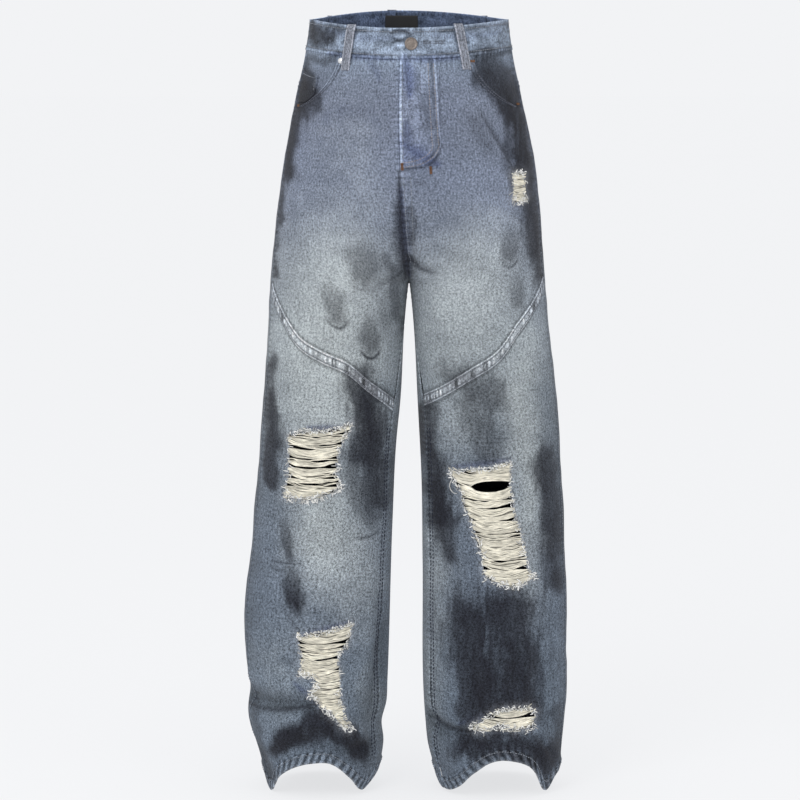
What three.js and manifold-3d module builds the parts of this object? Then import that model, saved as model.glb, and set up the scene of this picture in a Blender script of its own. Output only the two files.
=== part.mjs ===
// Ripped wide-leg jeans, standing open as they are worn, in millimetres.
// +Z is up, the front faces -Y, and the wearer's right leg is on the -X side.
// The origin is the middle of the waist opening, where the wearer's waist holds them.
//
// A point of the cloth is named by its side (-1 right leg, +1 left leg), by v, which
// runs round that leg, and by its height z. v is 0 on the outermost line of the leg.
// It rises to 1 over the front, and falls to -1 over the back; below -1 it goes on
// round the inside of the leg on to the front again.
import * as THREE from 'three';
import { mergeVertices } from 'three/addons/utils/BufferGeometryUtils.js';
import Module from 'manifold-3d';

const wasm = await Module();
wasm.setup();

// ---- Driving dimensions -------------------------------------------------------------

const RIGHT = -1;
const LEFT = 1;
const SIDE_NAMES = { [RIGHT]: 'right', [LEFT]: 'left' };
const CLOTH = 1.5;          // wall of one layer of denim
const SEAM_GAP = 0.3;       // between pieces that are sewn together
const CENTRE_GAP = 0.21;    // from the middle line to each side's edge
const BAND_HEIGHT = 42;     // of the waistband
const BAND_WALL = 2.6;      // two layers of denim
const BAND_PROUD = 0.6;     // the waistband's face stands out this far from the panels
const HEM_HEIGHT = 15;      // of the turned and stitched hem
const HEM_WALL = 3;
const HEM_GAP = 0.8;        // above the hem, whose edge swings up and down
const FRONT_TOP = -13;      // waistband's top edge at the centre front
const BACK_TOP = 14;        // and at the centre back
const CROTCH = -361;        // height of the crotch point
const FRONT_RISE = -200;    // where the front and the back rise begin to curve inwards
const BACK_RISE = -150;
const SOFT_TOP = -130;      // the sides of the trunk turn into legs from here,
const SOFT_DROP = 300;      // over this height
const OUTSEAM = 0.1;        // v of the outseam, which lies a little to the front
const INSEAM = 0.86;        // v of the inseam below the knee
const LOOP_WIDTH = 13;
const LOOP_WALL = 1.8;
const LOOP_ROOM = 2.2;      // between a belt loop and the waistband
const FLY_BOTTOM = -202;

// ---- Outlines: pairs of height and distance -----------------------------------------

// A smooth curve through points: a cubic between each two, with a mean slope at each.
function through(points) {
  const sorted = [...points].sort((a, b) => a[0] - b[0]);
  const last = sorted.length - 1;
  const width = (i) => sorted[i + 1][0] - sorted[i][0];
  const rise = (i) => (sorted[i + 1][1] - sorted[i][1]) / width(i);
  const slope = (i) => {
    if (i === 0) return rise(0);
    if (i === last) return rise(last - 1);
    return (rise(i - 1) * width(i) + rise(i) * width(i - 1)) / (width(i) + width(i - 1));
  };
  return (where) => {
    const x = Math.min(Math.max(where, sorted[0][0]), sorted[last][0]);
    let i = 0;
    while (i < last - 1 && x > sorted[i + 1][0]) i += 1;
    const h = width(i);
    const t = (x - sorted[i][0]) / h;
    const before = (2 * t ** 3 - 3 * t ** 2 + 1) * sorted[i][1];
    const after = (3 * t ** 2 - 2 * t ** 3) * sorted[i + 1][1];
    const leaving = (t ** 3 - 2 * t ** 2 + t) * h * slope(i);
    const arriving = (t ** 3 - t ** 2) * h * slope(i + 1);
    return before + leaving + after + arriving;
  };
}

const outer = {
  [RIGHT]: through([[15, 134], [0, 136], [-56, 145], [-111, 158], [-249, 181], [-361, 192.5],
    [-529, 203.5], [-699, 218], [-885, 231], [-935, 223.5], [-971, 228], [-1029, 212.6], [-1085, 198]]),
  [LEFT]: through([[15, 134], [0, 136], [-56, 144.5], [-111, 157], [-194, 174], [-249, 180.5],
    [-361, 189], [-529, 206.6], [-699, 217.4], [-877, 223], [-985, 220.5], [-1058, 212], [-1085, 209]]),
};
const inner = {
  [RIGHT]: through([[15, 0.6], [-361, 0.6], [-417, 5], [-529, 12], [-585, 17.5], [-699, 23],
    [-928, 30.3], [-957, 31.7], [-985, 38.5], [-1014, 36], [-1036, 39], [-1085, 55]]),
  [LEFT]: through([[15, 0.6], [-361, 0.6], [-417, 5], [-529, 12], [-642, 17.6], [-756, 19.1],
    [-985, 23.5], [-1014, 26.4], [-1058, 37.8], [-1085, 44]]),
};
const hipFront = through([[15, 97], [0, 98], [-120, 108], [-220, 112], [-361, 106]]);
const hipBack = through([[15, 103], [0, 104], [-120, 128], [-220, 136], [-361, 124]]);
const legFront = through([[-150, 104], [-361, 98], [-640, 76], [-900, 80], [-1085, 86]]);
const legBack = through([[-150, 112], [-361, 104], [-640, 82], [-900, 84], [-1085, 90]]);
// The fly closes to the wearer's right of the middle, and its line runs in to the crotch.
const centre = through([[15, -12.5], [-190, -12.5], [-240, -10], [-361, 0]]);

// Seams and edges that cross the leg: pairs of v and height.
const thighSeam = {
  [RIGHT]: through([[0.1, -369], [0.24, -412], [0.33, -440], [0.44, -459], [0.57, -477],
    [0.67, -501], [0.82, -527], [1, -548]]),
  [LEFT]: through([[0.1, -360], [0.25, -399], [0.335, -423], [0.43, -456], [0.57, -484],
    [0.73, -511], [0.92, -529], [1, -534]]),
};
const hemEdge = {
  [RIGHT]: through([[-1, -1050], [-0.75, -1066], [-0.5, -1063], [-0.25, -1066], [0, -1058],
    [0.125, -1078], [0.25, -1053], [0.46, -1029], [0.55, -1029], [0.68, -1053], [0.79, -1073],
    [0.88, -1064], [1, -1050]]),
  [LEFT]: through([[-1, -1056], [-0.75, -1064], [-0.5, -1060], [-0.25, -1064], [0, -1048],
    [0.11, -1055], [0.23, -1072], [0.3, -1045], [0.43, -1026], [0.5, -1025], [0.63, -1046],
    [0.72, -1065], [0.81, -1074], [0.9, -1071], [1, -1056]]),
};
const yokeSeam = through([[-1, -128], [-0.5, -112], [0.1, -92]]);

// ---- The cloth surface --------------------------------------------------------------

const clamp = (x) => Math.min(Math.max(x, 0), 1);
const ease = (x) => clamp(x) ** 2 * (3 - 2 * clamp(x));

// How far the cloth at the centre has turned from the trunk into the leg, 0 to 1: a
// quarter ellipse, so that the rise seam curves under to the crotch.
function turnUnder(back, z) {
  const start = back ? BACK_RISE : FRONT_RISE;
  const drop = clamp((start - z) / (start - CROTCH));
  return 1 - Math.sqrt(1 - drop * drop);
}

// The trunk is half an ellipse from the outseam to the centre, each leg is a whole one.
// The rise seam goes from the first to the second along a quarter ellipse, and the
// cloth beside it does so gently.
function plain(side, v, z) {
  const round = v < -1 ? v + 2 : v;
  const t = Math.abs(round);
  const back = round < 0;
  const xo = side * outer[side](z);
  const xi = side * inner[side](z);
  const xc = centre(z) + side * CENTRE_GAP;
  const edge = turnUnder(back, z);
  const soft = ease((SOFT_TOP - z) / SOFT_DROP);
  const leg = soft + (edge - soft) * ease((t - 0.3) / 0.6);
  const hip = new THREE.Vector3(
    xc + (xo - xc) * Math.cos(Math.PI * t / 2),
    (back ? hipBack(z) : -hipFront(z)) * Math.sin(Math.PI * t / 2),
    z,
  );
  const tube = new THREE.Vector3(
    (xo + xi) / 2 + (xo - xi) / 2 * Math.cos(Math.PI * t),
    (back ? legBack(z) : -legFront(z)) * Math.sin(Math.PI * t),
    z,
  );
  return hip.lerp(tube, leg);
}

// The direction out of the cloth, square to it.
function outward(side, v, z) {
  const step = 0.004;
  const rise = 2;
  const lowest = z > CROTCH ? -1 : -1.5;
  const across = plain(side, Math.min(v + step, 1), z).sub(plain(side, Math.max(v - step, lowest), z));
  const up = plain(side, v, z + rise).sub(plain(side, v, z - rise));
  return across.cross(up).multiplyScalar(-side).normalize();
}

// Large folds: a bent line from start through middle to end as seen from the front or
// the back, in x and z, with the half width of the fold and its height (a trough is < 0).
const frontFolds = [
  { line: [[-232, -942], [-180, -946], [-128, -944]], wide: 14, high: -6 },
  { line: [[-232, -916], [-180, -920], [-140, -922]], wide: 17, high: 4 },
  { line: [[-196, -1004], [-138, -948], [-66, -994]], wide: 17, high: 7 },
  { line: [[-100, -1014], [-80, -1016], [-58, -1008]], wide: 12, high: -6 },
  { line: [[-30, -850], [-52, -940], [-64, -1020]], wide: 15, high: -5 },
  { line: [[28, -976], [60, -994], [98, -992]], wide: 13, high: -6 },
  { line: [[60, -900], [72, -940], [66, -1030]], wide: 15, high: 4 },
  { line: [[168, -984], [192, -1012], [208, -1040]], wide: 14, high: 5 },
];
const backFolds = [
  { line: [[-150, -372], [-90, -388], [-20, -378]], wide: 16, high: -6 },
  { line: [[150, -368], [90, -386], [20, -378]], wide: 16, high: -6 },
  { line: [[-190, -630], [-110, -652], [-40, -622]], wide: 17, high: -6 },
  { line: [[190, -622], [110, -646], [40, -630]], wide: 17, high: -6 },
  { line: [[-205, -962], [-130, -990], [-60, -958]], wide: 17, high: -7 },
  { line: [[200, -956], [126, -984], [50, -966]], wide: 17, high: -7 },
];

// How far (x, z) is from a bent line, walking along it in short steps.
function distanceTo(line, x, z) {
  const steps = 12;
  let nearest = Infinity;
  for (let i = 0; i <= steps; i += 1) {
    const t = i / steps;
    const bend = [0, 1].map((axis) => (1 - t) ** 2 * line[0][axis]
      + 2 * t * (1 - t) * line[1][axis] + t ** 2 * line[2][axis]);
    nearest = Math.min(nearest, Math.hypot(x - bend[0], z - bend[1]));
  }
  return nearest;
}

function foldHeight(v, point) {
  const front = v > 0 || v < -1;
  const inside = ease(Math.abs(point.y) / 30);
  const folds = front ? frontFolds : backFolds;
  return inside * folds.reduce((sum, fold) => {
    const away = distanceTo(fold.line, point.x, point.z) / fold.wide;
    return sum + fold.high * Math.exp(-away * away);
  }, 0);
}

// The point of the cloth at (side, v, z), moved out of its face by a distance. Neither
// side crosses the middle line.
function cloth(side, v, z, out = 0) {
  const point = plain(side, v, z);
  point.addScaledVector(outward(side, v, z), foldHeight(v, point) + out);
  const middle = centre(z) * (1 - turnUnder(v < 0 && v >= -1, z)) + side * CENTRE_GAP;
  if ((point.x - middle) * side < 0) point.x = middle;
  return point;
}

const bandTop = (v) => (v > 0 ? FRONT_TOP : BACK_TOP) * (1 - Math.cos(Math.PI * v)) / 2;
const bandBottom = (v) => bandTop(v) - BAND_HEIGHT;
// The inseam leaves the crotch at v = 1 and moves to the front of the leg.
const inseam = (z) => 1 - (1 - INSEAM) * ease((CROTCH - z) / 200);

// v for a given x on the front of one side, at height z.
function frontV(side, x, z) {
  let low = 0;
  let high = 1;
  for (let i = 0; i < 30; i += 1) {
    const middle = (low + high) / 2;
    if (plain(side, middle, z).x * side > x * side) low = middle;
    else high = middle;
  }
  return (low + high) / 2;
}

// ---- Making closed solids -----------------------------------------------------------

// A wall over a grid: spot(p, q) gives the point at p across and q along, both 0 to 1,
// moved out by the distance asked for. A ring joins its last column to its first.
function wall(spot, columns, rows, outside, inside, ring = false) {
  const positions = [];
  const index = [];
  const across = ring ? columns : columns + 1;
  for (const out of [outside, inside]) {
    for (let row = 0; row <= rows; row += 1) {
      for (let column = 0; column < across; column += 1) {
        positions.push(...spot(column / columns, row / rows, out).toArray());
      }
    }
  }
  const layer = across * (rows + 1);
  const at = (column, row, level) => level * layer + row * across + (column % across);
  const quad = (a, b, c, d) => index.push(a, b, c, a, c, d);
  for (let row = 0; row < rows; row += 1) {
    for (let column = 0; column < columns; column += 1) {
      quad(at(column, row, 0), at(column, row + 1, 0), at(column + 1, row + 1, 0), at(column + 1, row, 0));
      quad(at(column, row, 1), at(column + 1, row, 1), at(column + 1, row + 1, 1), at(column, row + 1, 1));
    }
  }
  for (let column = 0; column < columns; column += 1) {
    quad(at(column, 0, 0), at(column + 1, 0, 0), at(column + 1, 0, 1), at(column, 0, 1));
    quad(at(column, rows, 0), at(column, rows, 1), at(column + 1, rows, 1), at(column + 1, rows, 0));
  }
  for (let row = 0; row < rows && !ring; row += 1) {
    quad(at(0, row, 0), at(0, row, 1), at(0, row + 1, 1), at(0, row + 1, 0));
    quad(at(columns, row, 0), at(columns, row + 1, 0), at(columns, row + 1, 1), at(columns, row, 1));
  }
  return facingOut(positions, index);
}

// A geometry whose faces point out: its signed volume is made positive.
function facingOut(positions, index) {
  let volume = 0;
  const corner = (i) => new THREE.Vector3().fromArray(positions, 3 * index[i]);
  for (let i = 0; i < index.length; i += 3) {
    volume += corner(i).dot(corner(i + 1).cross(corner(i + 2)));
  }
  if (volume < 0) index.reverse();
  const geometry = new THREE.BufferGeometry();
  geometry.setAttribute('position', new THREE.Float32BufferAttribute(positions, 3));
  geometry.setIndex(index);
  return geometry;
}

function solid(geometry) {
  const bare = geometry.clone();
  bare.deleteAttribute('normal');
  bare.deleteAttribute('uv');
  const merged = mergeVertices(bare);
  return new wasm.Manifold(new wasm.Mesh({
    numProp: 3,
    vertProperties: Float32Array.from(merged.attributes.position.array),
    triVerts: Uint32Array.from(merged.index.array),
  }));
}

function geometryOf(manifold) {
  const mesh = manifold.getMesh();
  const geometry = new THREE.BufferGeometry();
  geometry.setAttribute('position', new THREE.BufferAttribute(Float32Array.from(mesh.vertProperties), 3));
  geometry.setIndex([...mesh.triVerts]);
  return geometry;
}

// A prism along Y over an outline in x and z, through the front wall only.
function prism(outline) {
  const shape = new THREE.Shape(outline.map(([x, z]) => new THREE.Vector2(x, z)));
  const geometry = new THREE.ExtrudeGeometry(shape, { depth: 170, bevelEnabled: false });
  geometry.rotateX(Math.PI / 2);
  return solid(geometry);
}

// An outline drawn in by a distance, each corner along the mean of its two edges' normals.
function drawnIn(outline, distance) {
  const turn = Math.sign(THREE.ShapeUtils.area(outline.map(([x, z]) => new THREE.Vector2(x, z))));
  return outline.map(([x, z], i) => {
    const [px, pz] = outline.at(i - 1);
    const [nx, nz] = outline[(i + 1) % outline.length];
    const along = new THREE.Vector2(x - px, z - pz).normalize()
      .add(new THREE.Vector2(nx - x, nz - z).normalize()).normalize();
    return [x - turn * along.y * distance, z + turn * along.x * distance];
  });
}

const group = new THREE.Group();
const paints = {
  denim: { color: 0x7d8a9c, roughness: 0.92, metalness: 0 },
  seam: { color: 0x94a0ad, roughness: 0.92, metalness: 0 },
  facing: { color: 0x4a4f5c, roughness: 0.95, metalness: 0 },
  thread: { color: 0xe6e0cd, roughness: 0.9, metalness: 0 },
  label: { color: 0x16171a, roughness: 0.85, metalness: 0 },
  button: { color: 0x8f7a68, roughness: 0.4, metalness: 1 },
  rivet: { color: 0xc9cbd0, roughness: 0.3, metalness: 1 },
};

function add(name, paint, geometry) {
  const mesh = new THREE.Mesh(geometry, new THREE.MeshStandardMaterial(paints[paint]));
  mesh.name = name;
  group.add(mesh);
}

// ---- Rips: outlines in x and z ------------------------------------------------------

const rips = [
  {
    name: 'right_knee',
    side: RIGHT,
    panel: 'lower',
    outline: [[-166, -570], [-142, -563], [-109, -563], [-80, -554], [-98, -591], [-101, -625],
      [-95, -645], [-136, -660], [-171, -658], [-167, -632], [-164, -602]],
  },
  {
    name: 'right_shin',
    side: RIGHT,
    panel: 'lower',
    outline: [[-154, -850], [-119, -845], [-80, -834], [-86, -864], [-100, -877], [-97, -912],
      [-97, -937], [-83, -982], [-104, -962], [-121, -949], [-139, -934], [-128, -914],
      [-134, -906], [-153, -904], [-149, -875]],
  },
  {
    name: 'left_knee',
    side: LEFT,
    panel: 'lower',
    outline: [[57, -622], [85, -618], [113, -616], [140, -607], [139, -647], [144, -675],
      [152, -705], [165, -763], [163, -776], [141, -781], [105, -769], [101, -732],
      [86, -691], [76, -669], [73, -648]],
    hole: { at: [112, -641], half: [25, 8] },
  },
  {
    name: 'left_hem',
    side: LEFT,
    panel: 'lower',
    outline: [[88, -979], [103, -968], [122, -956], [139, -952], [165, -951], [175, -960],
      [171, -979], [148, -982], [131, -976], [118, -977], [97, -986]],
  },
  {
    name: 'left_hip',
    side: LEFT,
    panel: 'upper',
    outline: [[141, -211], [159, -211], [160, -246], [142, -247]],
  },
];

function withRips(geometry, side, panel) {
  let cut = solid(geometry);
  for (const rip of rips) {
    if (rip.side === side && rip.panel === panel) cut = cut.subtract(prism(rip.outline));
  }
  return geometryOf(cut);
}

// The weft threads left across a rip: a thin wall inside its outline.
function web(rip) {
  const xs = rip.outline.map(([x]) => x * rip.side);
  const zs = rip.outline.map(([, z]) => z);
  const margin = 12;
  const low = Math.min(...zs) - margin;
  const high = Math.max(...zs) + margin;
  const middle = (low + high) / 2;
  const from = frontV(rip.side, rip.side * (Math.max(...xs) + margin), middle) - 0.04;
  const to = frontV(rip.side, rip.side * (Math.min(...xs) - margin), middle) + 0.04;
  const across = Math.max(3, Math.ceil((to - from) / 0.1));
  const along = Math.max(2, Math.ceil((high - low) / 48));
  const spot = (p, q, out) => cloth(rip.side, from + (to - from) * p, high + (low - high) * q, out);
  let threads = solid(wall(spot, across, along, -0.2, -1.3)).intersect(prism(drawnIn(rip.outline, 0.5)));
  if (rip.hole) {
    const ellipse = new THREE.EllipseCurve(...rip.hole.at, ...rip.hole.half);
    threads = threads.subtract(prism(ellipse.getPoints(14).slice(0, -1).map((p) => [p.x, p.y])));
  }
  return geometryOf(threads);
}

// ---- Waistband and its trim ---------------------------------------------------------

// Round the waist from the centre front over the right side, the back and the left side.
function round(p) {
  const turn = 4 * p;
  return turn < 2 ? { side: RIGHT, v: 1 - turn } : { side: LEFT, v: turn - 3 };
}

function waistband() {
  const columns = 52;
  const spot = (p, q, out) => {
    const { side, v } = round(p);
    return cloth(side, v, bandTop(v) - BAND_HEIGHT * q, out);
  };
  return wall(spot, columns, 1, BAND_PROUD, BAND_PROUD - BAND_WALL);
}

// A plain black label on the inside of the back of the waistband.
const LABEL_HALF = 0.11;    // of its width, in v
const LABEL_HEIGHT = 24;
const LABEL_WALL = 0.8;
const LABEL_DROP = 7;       // below the waistband's top edge

function label() {
  const inside = BAND_PROUD - BAND_WALL - SEAM_GAP;
  const spot = (p, q, out) => {
    const v = LABEL_HALF * (2 * p - 1);
    const side = v < 0 ? RIGHT : LEFT;
    return cloth(side, -1 + Math.abs(v), BACK_TOP - LABEL_DROP - LABEL_HEIGHT * q, out);
  };
  return wall(spot, 6, 2, inside, inside - LABEL_WALL);
}

// A belt loop: a strip that stands off the waistband, with its two ends turned in.
const LOOP_LENGTH = BAND_HEIGHT + 20;

function beltLoop({ side, v, lean, top }) {
  const half = LOOP_WIDTH / 2;
  const standing = BAND_PROUD + LOOP_ROOM;
  const end = BAND_PROUD + SEAM_GAP;
  const steps = [[0, end], [0.05, standing], [0.3, standing + 0.4], [0.62, standing + 0.3],
    [0.88, standing - 0.6], [0.95, end], [1, end]];
  const spot = (p, q, out) => {
    const [part, stand] = steps[Math.round(q * (steps.length - 1))];
    const z = top - LOOP_LENGTH * part;
    const middle = v + lean * part;
    const reach = plain(side, middle, z).distanceTo(plain(side, middle + 0.01, z)) / 0.01;
    return cloth(side, middle + (2 * p - 1) * half / reach, z, stand + out);
  };
  return wall(spot, 2, steps.length - 1, LOOP_WALL, 0);
}

// A disc with a rounded face, standing on the cloth, its axis along the cloth's normal.
function stud(side, v, z, foot, profile) {
  const base = cloth(side, v, z, foot);
  const points = profile.map(([radius, height]) => new THREE.Vector2(radius, height));
  const geometry = new THREE.LatheGeometry(points, 16);
  const turn = new THREE.Quaternion().setFromUnitVectors(new THREE.Vector3(0, 1, 0), outward(side, v, z));
  geometry.applyQuaternion(turn);
  geometry.translate(base.x, base.y, base.z);
  return geometryOf(solid(geometry));
}

// ---- Fronts -------------------------------------------------------------------------

const FRONT_COLUMNS = 11;
const BACK_COLUMNS = 13;
const EDGE = 0.0024;        // in v, half the gap between two panels at a long seam

// The scooped mouth of a front pocket: a quarter ellipse from the waistband to the outseam.
const MOUTH_TOP_V = 0.56;
const MOUTH_TOP = bandBottom(MOUTH_TOP_V) - SEAM_GAP;
const MOUTH_BOTTOM = -122;
const MOUTH_ROWS = 4;
const mouthV = (z) => {
  const down = clamp((MOUTH_TOP - z) / (MOUTH_TOP - MOUTH_BOTTOM));
  return OUTSEAM + (MOUTH_TOP_V - OUTSEAM) * Math.sqrt(1 - down * down);
};

// Heights of the rows at the centre front: close together where the rise turns under.
const RISE_ROWS = [-122, -165, -208, -250, -290, -322, -345, -358, CROTCH, -404, -460, -510];

function frontUpper(side) {
  const end = thighSeam[side](1) + SEAM_GAP;
  const heights = [...RISE_ROWS, end];
  const rows = MOUTH_ROWS + heights.length - 1;
  const spot = (p, q, out) => {
    const row = Math.round(q * rows);
    if (row < MOUTH_ROWS) {
      const angle = Math.PI / 2 * row / MOUTH_ROWS;
      const edgeZ = MOUTH_TOP - (MOUTH_TOP - MOUTH_BOTTOM) * Math.sin(angle);
      const edgeV = mouthV(edgeZ) + EDGE;
      const v = edgeV + (1 - edgeV) * p;
      const sag = (bandBottom(v) - SEAM_GAP - MOUTH_TOP) * (1 - row / MOUTH_ROWS);
      return cloth(side, v, edgeZ + sag, out);
    }
    const height = heights[row - MOUTH_ROWS];
    const share = (height - MOUTH_BOTTOM) / (end - MOUTH_BOTTOM);
    const last = height > CROTCH ? 1 : inseam(height) - EDGE;
    const v = OUTSEAM + EDGE + (last - OUTSEAM - EDGE) * p;
    const seam = thighSeam[side](v) + SEAM_GAP;
    return cloth(side, v, MOUTH_BOTTOM + (seam - MOUTH_BOTTOM) * share, out);
  };
  return withRips(wall(spot, FRONT_COLUMNS, rows, 0, -CLOTH), side, 'upper');
}

const hemTop = (side, v) => hemEdge[side](v < -1 ? v + 2 : v) + HEM_HEIGHT;

// Rows of the lower leg, as shares of the way down: close together in the folds at the hem.
const LONG_ROWS = 9;
const SHORT_ROWS = 8;
const LONG_SHARE = 0.7;
const legShare = (row) => (row <= LONG_ROWS
  ? LONG_SHARE * row / LONG_ROWS
  : LONG_SHARE + (1 - LONG_SHARE) * (row - LONG_ROWS) / SHORT_ROWS);

function frontLower(side) {
  const rows = LONG_ROWS + SHORT_ROWS;
  const spot = (p, q, out) => {
    const share = legShare(Math.round(q * rows));
    const atSeam = thighSeam[side](1);
    const last = inseam(atSeam + (hemTop(side, INSEAM) - atSeam) * share) - EDGE;
    const v = OUTSEAM + EDGE + (last - OUTSEAM - EDGE) * p;
    const top = thighSeam[side](v) - SEAM_GAP / 2;
    const bottom = hemTop(side, v) + HEM_GAP;
    return cloth(side, v, top + (bottom - top) * share, out);
  };
  return withRips(wall(spot, FRONT_COLUMNS, rows, 0, -CLOTH), side, 'lower');
}

// The raised, twice stitched welt over the seam between the two parts of a front.
const WELT_HALF = 5;        // of its width

function thighWelt(side) {
  const columns = 20;
  const last = inseam(thighSeam[side](1)) - 0.01;
  const spot = (p, q, out) => {
    const v = OUTSEAM + 0.01 + (last - OUTSEAM - 0.01) * p;
    const at = (where) => cloth(side, where, thighSeam[side](where), out);
    const along = at(v + 0.01).sub(at(v - 0.01));
    const across = outward(side, v, thighSeam[side](v)).cross(along).normalize();
    return at(v).addScaledVector(across, (2 * q - 1) * WELT_HALF);
  };
  return wall(spot, columns, 1, SEAM_GAP + 1.7, SEAM_GAP + 0.2);
}

// ---- Pockets and fly ----------------------------------------------------------------

// The denim facing behind a pocket mouth, lying under the front. Its top runs up behind
// the waistband.
const FACING_DEPTH = CLOTH + SEAM_GAP + 0.8;
const FACING_TOP = -40;
const FACING_BOTTOM = MOUTH_BOTTOM - 18;

function pocketFacing(side) {
  const spot = (p, q, out) => {
    const first = OUTSEAM + EDGE;
    const z = FACING_TOP + (FACING_BOTTOM - FACING_TOP) * q;
    const last = mouthV(z) + 0.07;
    return cloth(side, first + (last - first) * p, z, out);
  };
  return wall(spot, 8, 6, -FACING_DEPTH, -FACING_DEPTH - CLOTH);
}

// The small coin pocket on the right facing, cut off by the mouth.
const COIN = { first: OUTSEAM + 0.015, last: 0.39, top: -70, slope: -7, foot: -113 };

function coinPocket() {
  const spot = (p, q, out) => {
    const top = COIN.top + COIN.slope * p;
    const z = top + (COIN.foot - top) * q;
    const { first } = COIN;
    const last = Math.min(COIN.last, mouthV(z) - 0.03);
    return cloth(RIGHT, first + (last - first) * p, z, out);
  };
  return wall(spot, 5, 5, SEAM_GAP + 1.1 - FACING_DEPTH, SEAM_GAP - FACING_DEPTH);
}

// The fly: the left front's folded lap, stitched down in a J.
const FLY_WIDTH = 0.2;      // in v
const FLY_BEND = 36;        // height of the curve at its foot

function fly() {
  const spot = (p, q, out) => {
    const top = bandBottom(0.9) - 2;
    const z = top + (FLY_BOTTOM - top) * Math.sin(Math.PI / 2 * q);
    const curve = clamp((FLY_BOTTOM + FLY_BEND - z) / FLY_BEND);
    const width = FLY_WIDTH * Math.sqrt(1 - 0.98 * curve * curve);
    return cloth(LEFT, 1 - width + width * p, z, out);
  };
  return wall(spot, 4, 9, SEAM_GAP + 1.2, SEAM_GAP);
}

// A patch pocket on a back: straight top, straight sides, and a pointed foot.
const PATCH = { top: -158, slope: -4, foot: -282, point: 20 };

function backPocket(side) {
  const spot = (p, q, out) => {
    const top = PATCH.top + PATCH.slope * p;
    const foot = PATCH.foot - PATCH.point * (1 - Math.abs(2 * p - 1));
    const v = -0.28 - 0.02 * q - (0.52 - 0.05 * q) * p;
    return cloth(side, v, top + (foot - top) * q, out);
  };
  return wall(spot, 8, 7, SEAM_GAP + CLOTH + 0.3, SEAM_GAP + 0.3);
}

// ---- Backs and hems -----------------------------------------------------------------

const backV = (p, height) => {
  const first = OUTSEAM - EDGE;
  const last = height > CROTCH ? -1 : -2 + inseam(height) + EDGE;
  return first + (last - first) * p;
};

function yoke(side) {
  const spot = (p, q, out) => {
    const v = backV(p, 0);
    const top = bandBottom(v) - SEAM_GAP;
    const bottom = yokeSeam(v) + SEAM_GAP / 2;
    return cloth(side, v, top + (bottom - top) * q, out);
  };
  return wall(spot, BACK_COLUMNS, 2, 0, -CLOTH);
}

const SEAT_ROWS = [-128, -172, -216, -258, -296, -326, -348, -359, CROTCH, -410, -470, -540];

function back(side) {
  const atHem = hemTop(side, -2 + INSEAM);
  const shin = Array.from({ length: 10 }, (_, i) => -540 + (atHem + 540) * (i + 1) / 10);
  const heights = [...SEAT_ROWS, ...shin];
  const rows = heights.length - 1;
  const spot = (p, q, out) => {
    const height = heights[Math.round(q * rows)];
    const share = (height - heights[0]) / (atHem - heights[0]);
    const v = backV(p, height);
    const top = yokeSeam(Math.max(v, -1)) - SEAM_GAP / 2;
    const bottom = hemTop(side, v) + HEM_GAP;
    return cloth(side, v, top + (bottom - top) * share, out);
  };
  return wall(spot, BACK_COLUMNS, rows, 0, -CLOTH);
}

// The hem: a turned edge right round the leg, on the columns of the front and the back.
function hem(side) {
  const columns = FRONT_COLUMNS + BACK_COLUMNS;
  const spot = (p, q, out) => {
    const column = Math.round(p * columns);
    const v = column <= FRONT_COLUMNS
      ? OUTSEAM + (INSEAM - OUTSEAM) * column / FRONT_COLUMNS
      : backV((columns - column) / BACK_COLUMNS, -2000);
    return cloth(side, v, hemTop(side, v) - HEM_HEIGHT * q, out);
  };
  return wall(spot, columns, 1, (HEM_WALL - CLOTH) / 2, (-HEM_WALL - CLOTH) / 2, true);
}

// ---- Assembly -----------------------------------------------------------------------

add('waistband', 'denim', waistband());
add('label', 'label', label());
for (const side of [RIGHT, LEFT]) {
  const name = SIDE_NAMES[side];
  add(`front_upper_${name}`, 'denim', frontUpper(side));
  add(`front_lower_${name}`, 'denim', frontLower(side));
  add(`thigh_welt_${name}`, 'seam', thighWelt(side));
  add(`pocket_facing_${name}`, 'facing', pocketFacing(side));
  add(`yoke_${name}`, 'denim', yoke(side));
  add(`back_${name}`, 'denim', back(side));
  add(`back_pocket_${name}`, 'denim', backPocket(side));
  add(`hem_${name}`, 'seam', hem(side));
}
add('coin_pocket', 'denim', coinPocket());
add('fly', 'denim', fly());

const loops = [
  { name: 'front_right', side: RIGHT, v: 0.652, lean: -0.02, top: -8 },
  { name: 'front_left', side: LEFT, v: 0.65, lean: -0.035, top: -7 },
  { name: 'back_right', side: RIGHT, v: -0.42, lean: 0, top: 6 },
  { name: 'back_left', side: LEFT, v: -0.42, lean: 0, top: 6 },
  { name: 'back_middle', side: RIGHT, v: -0.94, lean: 0, top: 15 },
];
for (const loop of loops) add(`belt_loop_${loop.name}`, 'seam', beltLoop(loop));

// A tack button with a rolled rim, and a rivet: radius and height from the cloth.
const BUTTON_AT = { v: 0.938, z: -34.5 };
const RIVET_AT = { v: 0.588, z: -57 };
const BUTTON_FOOT = BAND_PROUD + SEAM_GAP;
const RIVET_FOOT = SEAM_GAP + 0.2;
add('button', 'button', stud(LEFT, BUTTON_AT.v, BUTTON_AT.z, BUTTON_FOOT, [[0, 0], [4, 0], [4, 1.2], [8.4, 1.8],
  [8.9, 2.8], [8.2, 3.6], [6.6, 3.3], [5.6, 3], [0, 3.2]]));
add('rivet', 'rivet', stud(RIGHT, RIVET_AT.v, RIVET_AT.z, RIVET_FOOT, [[0, 0], [4, 0], [4.2, 0.5],
  [3, 1.1], [1.6, 1.3], [0, 1.4]]));

for (const rip of rips) add(`rip_threads_${rip.name}`, 'thread', web(rip));

export default group;
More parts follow.
